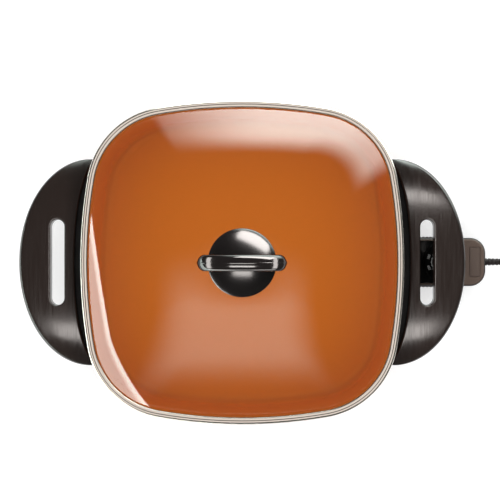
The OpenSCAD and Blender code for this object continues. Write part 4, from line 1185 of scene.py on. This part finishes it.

# %% [markdown]
# The other finishes differ only in numbers, so they are rows of a table. The grips
# are gloss black with faint streaks along them, as a polished mould leaves. The
# control's flat top is matt and brown; its steep sides are darkened with painted
# shade, and a line of painted shade lies in the pressed groove of the rim.

# %% Plastics, metals and rubber
PLASTICS = {  # colour, rubbed colour, roughness, grain scale, grain depth, specular level
    "grip_plastic": ((0.0095, 0.0066, 0.0057), (0.02, 0.017, 0.016), 0.19, 1400, 0.00004),
    "knob_plastic": ((0.003, 0.0025, 0.0025), (0.01, 0.01, 0.01), 0.1, 300, 0.000005),
    "cap_plastic": ((0.003, 0.0025, 0.0025), (0.01, 0.01, 0.01), 0.17, 600, 0.00001),
    "base_plastic": ((0.007, 0.006, 0.006), (0.02, 0.02, 0.02), 0.5, 1200, 0.00006),
    "housing_plastic": ((0.094, 0.065, 0.052), (0.094, 0.065, 0.052), 0.5, 1200, 0.00005, 0.3),
    "lower_plastic": ((0.009, 0.007, 0.0065), (0.025, 0.02, 0.02), 0.5, 1200, 0.00005, 0.3),
    "panel_plastic": ((0.092, 0.065, 0.053), (0.1, 0.074, 0.062), 0.3, 900, 0.00002),
    "dial_plastic": ((0.002, 0.0018, 0.0018), (0.01, 0.01, 0.01), 0.2, 900, 0.00001, 0.2),
    "cord_rubber": ((0.013, 0.009, 0.009), (0.03, 0.026, 0.026), 0.6, 1500, 0.00004, 0.2),
    "plug_rubber": ((0.013, 0.01, 0.01), (0.03, 0.026, 0.026), 0.58, 1500, 0.00005, 0.2),
    "foot_rubber": ((0.012, 0.012, 0.012), (0.03, 0.03, 0.03), 0.7, 1500, 0.00006),
    "washer_rubber": ((0.25, 0.24, 0.22), (0.3, 0.3, 0.28), 0.55, 1500, 0.00004),
    "print_white": ((0.62, 0.62, 0.6), (0.62, 0.62, 0.62), 0.45, 900, 0.000005),
    "ceramic": ((0.65, 0.62, 0.56), (0.7, 0.68, 0.65), 0.3, 500, 0.00001),
    "insulator_resin": ((0.55, 0.47, 0.34), (0.6, 0.52, 0.4), 0.5, 900, 0.00003)}
METALS = {  # colour, roughness, how fine the lines are across Z, their depth
    "rim_steel": ((0.74, 0.68, 0.62), 0.16, 40, 0.00001),
    "sheath_steel": ((0.35, 0.34, 0.33), 0.36, 20),
    "screw_steel": ((0.62, 0.61, 0.6), 0.28, 20),
    "guard_steel": ((0.55, 0.55, 0.54), 0.32, 10),
    "pin_metal": ((0.75, 0.73, 0.68), 0.2, 20),
    "sensor_steel": ((0.66, 0.65, 0.63), 0.24, 20),
    "brass": ((0.72, 0.5, 0.2), 0.28, 20),
    "spring_copper": ((0.75, 0.42, 0.25), 0.3, 20)}
for kind, table in ((moulded, PLASTICS), (metal, METALS)):
    for name, row in table.items():
        kind(name, *row)
material("lamp_amber", (0.75, 0.12, 0.02), 0, 0.15, Transmission_Weight=0.5)
print("materials:", len(bpy.data.materials))

# %% Painted shade on steep sides and in the rim's groove, and streaks
# Painted shade: the control housing's steep sides are darkened in its base colour.
shade_where("housing_plastic", steep, (0.008, 0.006, 0.006))
# Painted shade: a dark line painted along the rim's pressed groove.
shade_where("rim_steel", groove, (0.12, 0.1, 0.09))
tree = looks["grip_plastic"].node_tree
streaks = place_group(tree, drawn, Scale=35, Across_X=26, Across_Z=5)["Height"]
feed(tree, shader_of(tree).inputs["Roughness"],
     node(tree, "MapRange", "Result", Value=streaks, To_Min=0.04, To_Max=0.36))
print("materials:", len(bpy.data.materials))

# %% [markdown]
# ## Which piece rides on what
# Every piece gets its finish, rides on the body it belongs to and stands for the solid
# it was made from, so it moves with the lid, the control or the dial. Screws, contacts
# and other small solids stay as they are and only get a finish.

# %% Finishes, bodies and stand-ins
def finish(piece, *names):
    """Gives an object its materials."""
    piece.data.materials.clear()
    for name in names:
        piece.data.materials.append(looks[name])


RIDERS = {
    "skillet": (
        (pan_bowl, "copper_coating", "pan", "pan_coating"),
        (pan_underside, "copper_paint", "pan", "pan_coating"),
        (element_tube, "sheath_steel", "heating_element", "element_steel"),
        (grips["left"], "grip_plastic", "left_handle", "handle_plastic"),
        (grips["right"], "grip_plastic", "right_handle", "handle_plastic"),
        (frames["left"], "base_plastic", "left_leg_frame", "leg_plastic"),
        (frames["right"], "base_plastic", "right_leg_frame", "leg_plastic")),
    "lid": (
        (lid_dome, "tempered_glass", "lid_glass", "lid_glass"),
        (rolled_rim, "rim_steel", "lid_rim", "rim_steel"),
        (knob_cap, "cap_plastic", "knob", "knob_plastic"),
        (knob_arch, "knob_plastic", "knob", "knob_plastic")),
    "dial": (
        (dial_disc, "dial_plastic", "temperature_dial", "dial_plastic"),
        (dial_marks, "print_white", "temperature_dial", "dial_plastic"),
        (dial_numbers, "print_white", "temperature_dial", "dial_plastic")),
    "control": (
        (upper_shell, "housing_plastic", "control_top", "control_plastic"),
        (lower_shell, "lower_plastic", "control_base", "control_base_plastic"),
        (window_panel, "panel_plastic", "indicator_window", "window_plastic"),
        # the black plate that paints the grip's shade round the dial
        (shade_plate, "dial_plastic", "control_top", "dial_plastic"),
        (relief_sleeve, "cord_rubber", "strain_relief", "cord_rubber"),
        (plug_shell, "plug_rubber", "plug_body", "plug_plastic"),
        (mains_cord, "cord_rubber", "cord_lead cord_coil cord_tail", "cord_rubber"))}
for body, rows in RIDERS.items():
    for piece, look, nodes, slot_name in rows:
        finish(piece, look)
        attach(piece, body)
        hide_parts(*nodes.split())
print("pieces:", {body: len(rows) for body, rows in RIDERS.items()})

# %% Paint outside the bowl, and finishes of the solids that stay
FACING_UP = 0.02
finish(pan_bowl, "copper_coating", "copper_paint")
for face in pan_bowl.data.polygons:
    face.material_index = 1 if face.normal.z < FACING_UP else 0
for look, names in (
        ("screw_steel", "guard_screws pan_screws handle_screws knob_screw control_screws"),
        ("screw_steel", "dial_shaft"),
        ("foot_rubber", "foot_front_left foot_front_right foot_rear_left foot_rear_right"),
        ("brass", "contact_sockets bimetal_strip plug_blades"),
        ("spring_copper", "fixed_contact_arm moving_contact_arm"), ("pin_metal", "terminal_pins"),
        ("ceramic", "terminal_beads"), ("guard_steel", "terminal_guard"),
        ("washer_rubber", "knob_washer"), ("sensor_steel", "sensor_tube"),
        ("insulator_resin", "contact_insulator"), ("lamp_amber", "indicator_lamp")):
    for name in names.split():
        finish(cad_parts[name], look)
print("painted faces:", sum(f.material_index for f in pan_bowl.data.polygons))

# %% [markdown]
# ## Table and light
# A white table in a dim studio. Black plastic and glass are lit by what they mirror,
# so the light is soft boxes with dark between them: one at the rear right whose
# reflection fades down the glass, and a low panel at the left that draws a crescent.

# %% Table
TABLE_HALF = 12
bm = bmesh.new()
bmesh.ops.create_grid(bm, x_segments=1, y_segments=1, size=TABLE_HALF)
table = placed("table", mesh_of("table", bm))
material("white_table", (0.6, 0.6, 0.6), 0, 0.7, Emission_Color=(1, 1, 1), Emission_Strength=0.5)
finish(table, "white_table")
print("table:", 2 * TABLE_HALF, "m wide")

# %% [markdown]
# The surround holds the two large boxes. Each is a window in direction and height
# with its own edges, soft or crisp, and its own brightness. The rear box fades out
# with height. The left one ends in a bowed top edge with a bright line under it.
# A pale ceiling at the front is there for the glass's inner face alone.

# %% Surround with its soft boxes
AMBIENT_TOP, AMBIENT_LOW = 0.04, 0.12
REAR_AT, REAR_FROM, REAR_TO, REAR_DIM, REAR_GLOW = 60, (-46, -28), (50, 24), 0.62, 13.2
REAR_FADE, REAR_RISE = (-30, 5), (0.635, 0.412)
LEFT_AT, LEFT_TOP, LEFT_BOW, LEFT_LINE, LEFT_GLOW = 215, 0.437, 0.00015, 16, 7.5
LEFT_EDGE, LINE_EDGE = (-0.006, 0.006), (0.02, 0.06)
VEIL_LEFT, VEIL_RIGHT, VEIL_GLOW = (-0.62, -0.2), (0.46, 0.1), 3.2
VEIL_NEAR, VEIL_FAR = (0.05, -0.2), (-0.9, -0.6)

world = bpy.data.worlds.new("studio")
bpy.context.scene.world = world
world.use_nodes = True
sky = world.node_tree
heading = node(sky, "SeparateXYZ", 0, Vector=node(sky, "TexCoord", "Generated")).node.outputs
across, front, up = heading["X"], heading["Y"], heading["Z"]


times, plus, minus = (partial(maths, sky, op) for op in ("MULTIPLY", "ADD", "SUBTRACT"))


def step(value, start, end, low=0.0, high=1.0):
    """A soft step of a value, from low at start to high at end."""
    if start > end:
        start, end, low, high = end, start, high, low
    result = node(sky, "MapRange", "Result", Value=value, From_Min=start, From_Max=end,
                  To_Min=low, To_Max=high)
    result.node.interpolation_type = "SMOOTHSTEP"
    return result


def bearing(middle):
    """Angle in degrees round the vertical, counted from a middle direction."""
    c, s = cos(radians(middle)), sin(radians(middle))
    u = plus(times(across, c), times(front, s))
    v = plus(times(across, -s), times(front, c))
    return times(maths(sky, "ARCTAN2", v, u), 180 / pi)


ambient = step(up, 0.9, 0.35, AMBIENT_TOP, AMBIENT_LOW)
rear = bearing(REAR_AT)
rear_window = times(times(step(rear, *REAR_FROM), step(rear, *REAR_TO)),
                    step(rear, *REAR_FADE, REAR_DIM, 1))
rear_glow = times(rear_window, step(up, *REAR_RISE, 0, REAR_GLOW))
left = bearing(LEFT_AT)
below_top = minus(minus(LEFT_TOP, times(times(left, left), LEFT_BOW)), up)
left_glow = times(step(below_top, *LEFT_EDGE), step(below_top, *LINE_EDGE, LEFT_LINE, LEFT_GLOW))
veil = times(times(step(across, *VEIL_LEFT), step(across, *VEIL_RIGHT)),
             times(step(front, *VEIL_NEAR), step(front, *VEIL_FAR, 0, VEIL_GLOW)))
print("surround nodes:", len(sky.nodes))

# %% [markdown]
# Only the first mirror a ray meets shows the boxes, so they draw no second picture
# inside the pan. The glass's inner face mirrors the pale ceiling, which lies on the
# dome as a soft veil. Matt surfaces under the glass get a little fill, because light
# scattered between pan and lid needs too many samples. The camera sees plain white.

# %% Who sees the boxes
FILL, BACKDROP, TINT, WHITE = 0.12, 0.95, (0.9, 1, 0.94), (1, 1, 1)
THIRD_HIT, ONCE, THROUGH_LID, INSIDE_GLASS = 2.5, 0.5, 2.5, 2
rays = node(sky, "LightPath", 0).node.outputs
first_mirror = maths(sky, "LESS_THAN", rays["Ray Depth"], THIRD_HIT)
boxes = times(times(first_mirror, rays["Is Glossy Ray"]), plus(rear_glow, left_glow))
scattered = maths(sky, "GREATER_THAN", rays["Diffuse Depth"], ONCE)
through_glass = maths(sky, "GREATER_THAN", rays["Transmission Depth"], THROUGH_LID)
fill = times(times(scattered, through_glass), FILL)
inner_face = maths(sky, "COMPARE", rays["Transmission Depth"], INSIDE_GLASS)
inner_veil = times(times(inner_face, minus(1, scattered)), veil)
backdrop = sky.nodes.new("ShaderNodeMix")
glow = plus(plus(ambient, fill), plus(boxes, inner_veil))
for i, value in ((0, rays["Is Camera Ray"]), (2, glow), (3, BACKDROP)):
    feed(sky, backdrop.inputs[i], value)
background = sky.nodes["Background"]
feed(sky, background.inputs[0], mixed(sky, rays["Is Camera Ray"], TINT, WHITE))
feed(sky, background.inputs[1], backdrop.outputs[0])
print("surround nodes:", len(sky.nodes))

# %% [markdown]
# Smaller boxes draw the sheen on the black plastic and the steel. Each lights only
# the pieces it is set for, as a photographer's flags would keep it off the glass. The
# tent is a wide overhead lamp that mirrors and glass don't show.

# %% Tent and boxes
TENT_ANGLE, TENT_ENERGY, WARM = 120, 4.0, (1, 0.94, 0.9)
tent = bpy.data.lights.new("cloth_tent", "SUN")
tent.angle = radians(TENT_ANGLE)
tent.energy = TENT_ENERGY
tent_object = placed("cloth_tent", tent)
tent_object.location = (0, 0, 2)
tent_object.visible_glossy = False
tent_object.visible_transmission = False


def softbox(name, place, target, width, height, radiance, pieces):
    """A rectangular lamp that lights some pieces; radiance is how bright its face is."""
    lamp = bpy.data.lights.new(name, "AREA")
    lamp.shape = "RECTANGLE"
    lamp.size, lamp.size_y = width, height
    lamp.energy = radiance * pi * width * height
    lamp.color = WARM
    box = placed(name, lamp)
    box.location = place
    box.rotation_euler = (Vector(target) - Vector(place)).to_track_quat("-Z", "Y").to_euler()
    box.visible_camera = False
    lit = bpy.data.collections.new(name + "_lights")
    for piece in pieces:
        lit.objects.link(piece)
    box.light_linking.receiver_collection = lit


left_grip, right_grip = [grips["left"]], [grips["right"]]
for row in (  # name, place, target, width, height, radiance, pieces
        ("grip_rear_box", (0.16, 0.37, 1.09), (0.16, 0.07, 0.09), 0.42, 0.16, 13, right_grip),
        ("grips_front_box", (-0.01, -0.43, 1.09), (-0.01, -0.07, 0.09), 0.7, 0.24, 11,
         left_grip + right_grip),
        ("left_lip_box", (0.83, 0, 0.99), (-0.17, 0, 0.09), 2.2, 0.4, 12, left_grip),
        ("right_lip_box", (-0.84, 0, 0.99), (0.16, 0, 0.09), 2.2, 0.4, 12, right_grip),
        ("knob_rear_box", (0.28, 0.54, 0.9), (0, 0, 0.16), 0.85, 0.36, 26, [knob_cap, knob_arch]),
        ("knob_front_box", (-0.01, -0.24, 1.1), (0, 0, 0.16), 0.45, 0.16, 17,
         [knob_cap, knob_arch]),
        ("knob_left_box", (-0.63, 0, 0.7), (-0.03, 0, 0.18), 0.9, 0.17, 14, [knob_arch]),
        ("knob_right_box", (0.6, 0, 0.7), (0, 0, 0.18), 0.9, 0.17, 14, [knob_arch]),
        ("knob_low_box", (-0.01, -0.8, 0.55), (-0.01, 0, 0.17), 1.4, 0.15, 16, [knob_arch]),
        ("knob_edge_box", (-0.6, -0.55, 0.4), (-0.01, 0, 0.16), 0.7, 0.2, 20, [knob_cap]),
        ("rim_top_box", (-0.01, 0.0, 1.3), (-0.01, 0, 0.1), 1.9, 1.9, 0.98, [rolled_rim])):
    softbox(*row)
scene = bpy.context.scene
scene.view_settings.view_transform = "Standard"
scene.view_settings.exposure = 0.0
print("lamps:", len(bpy.data.lights))
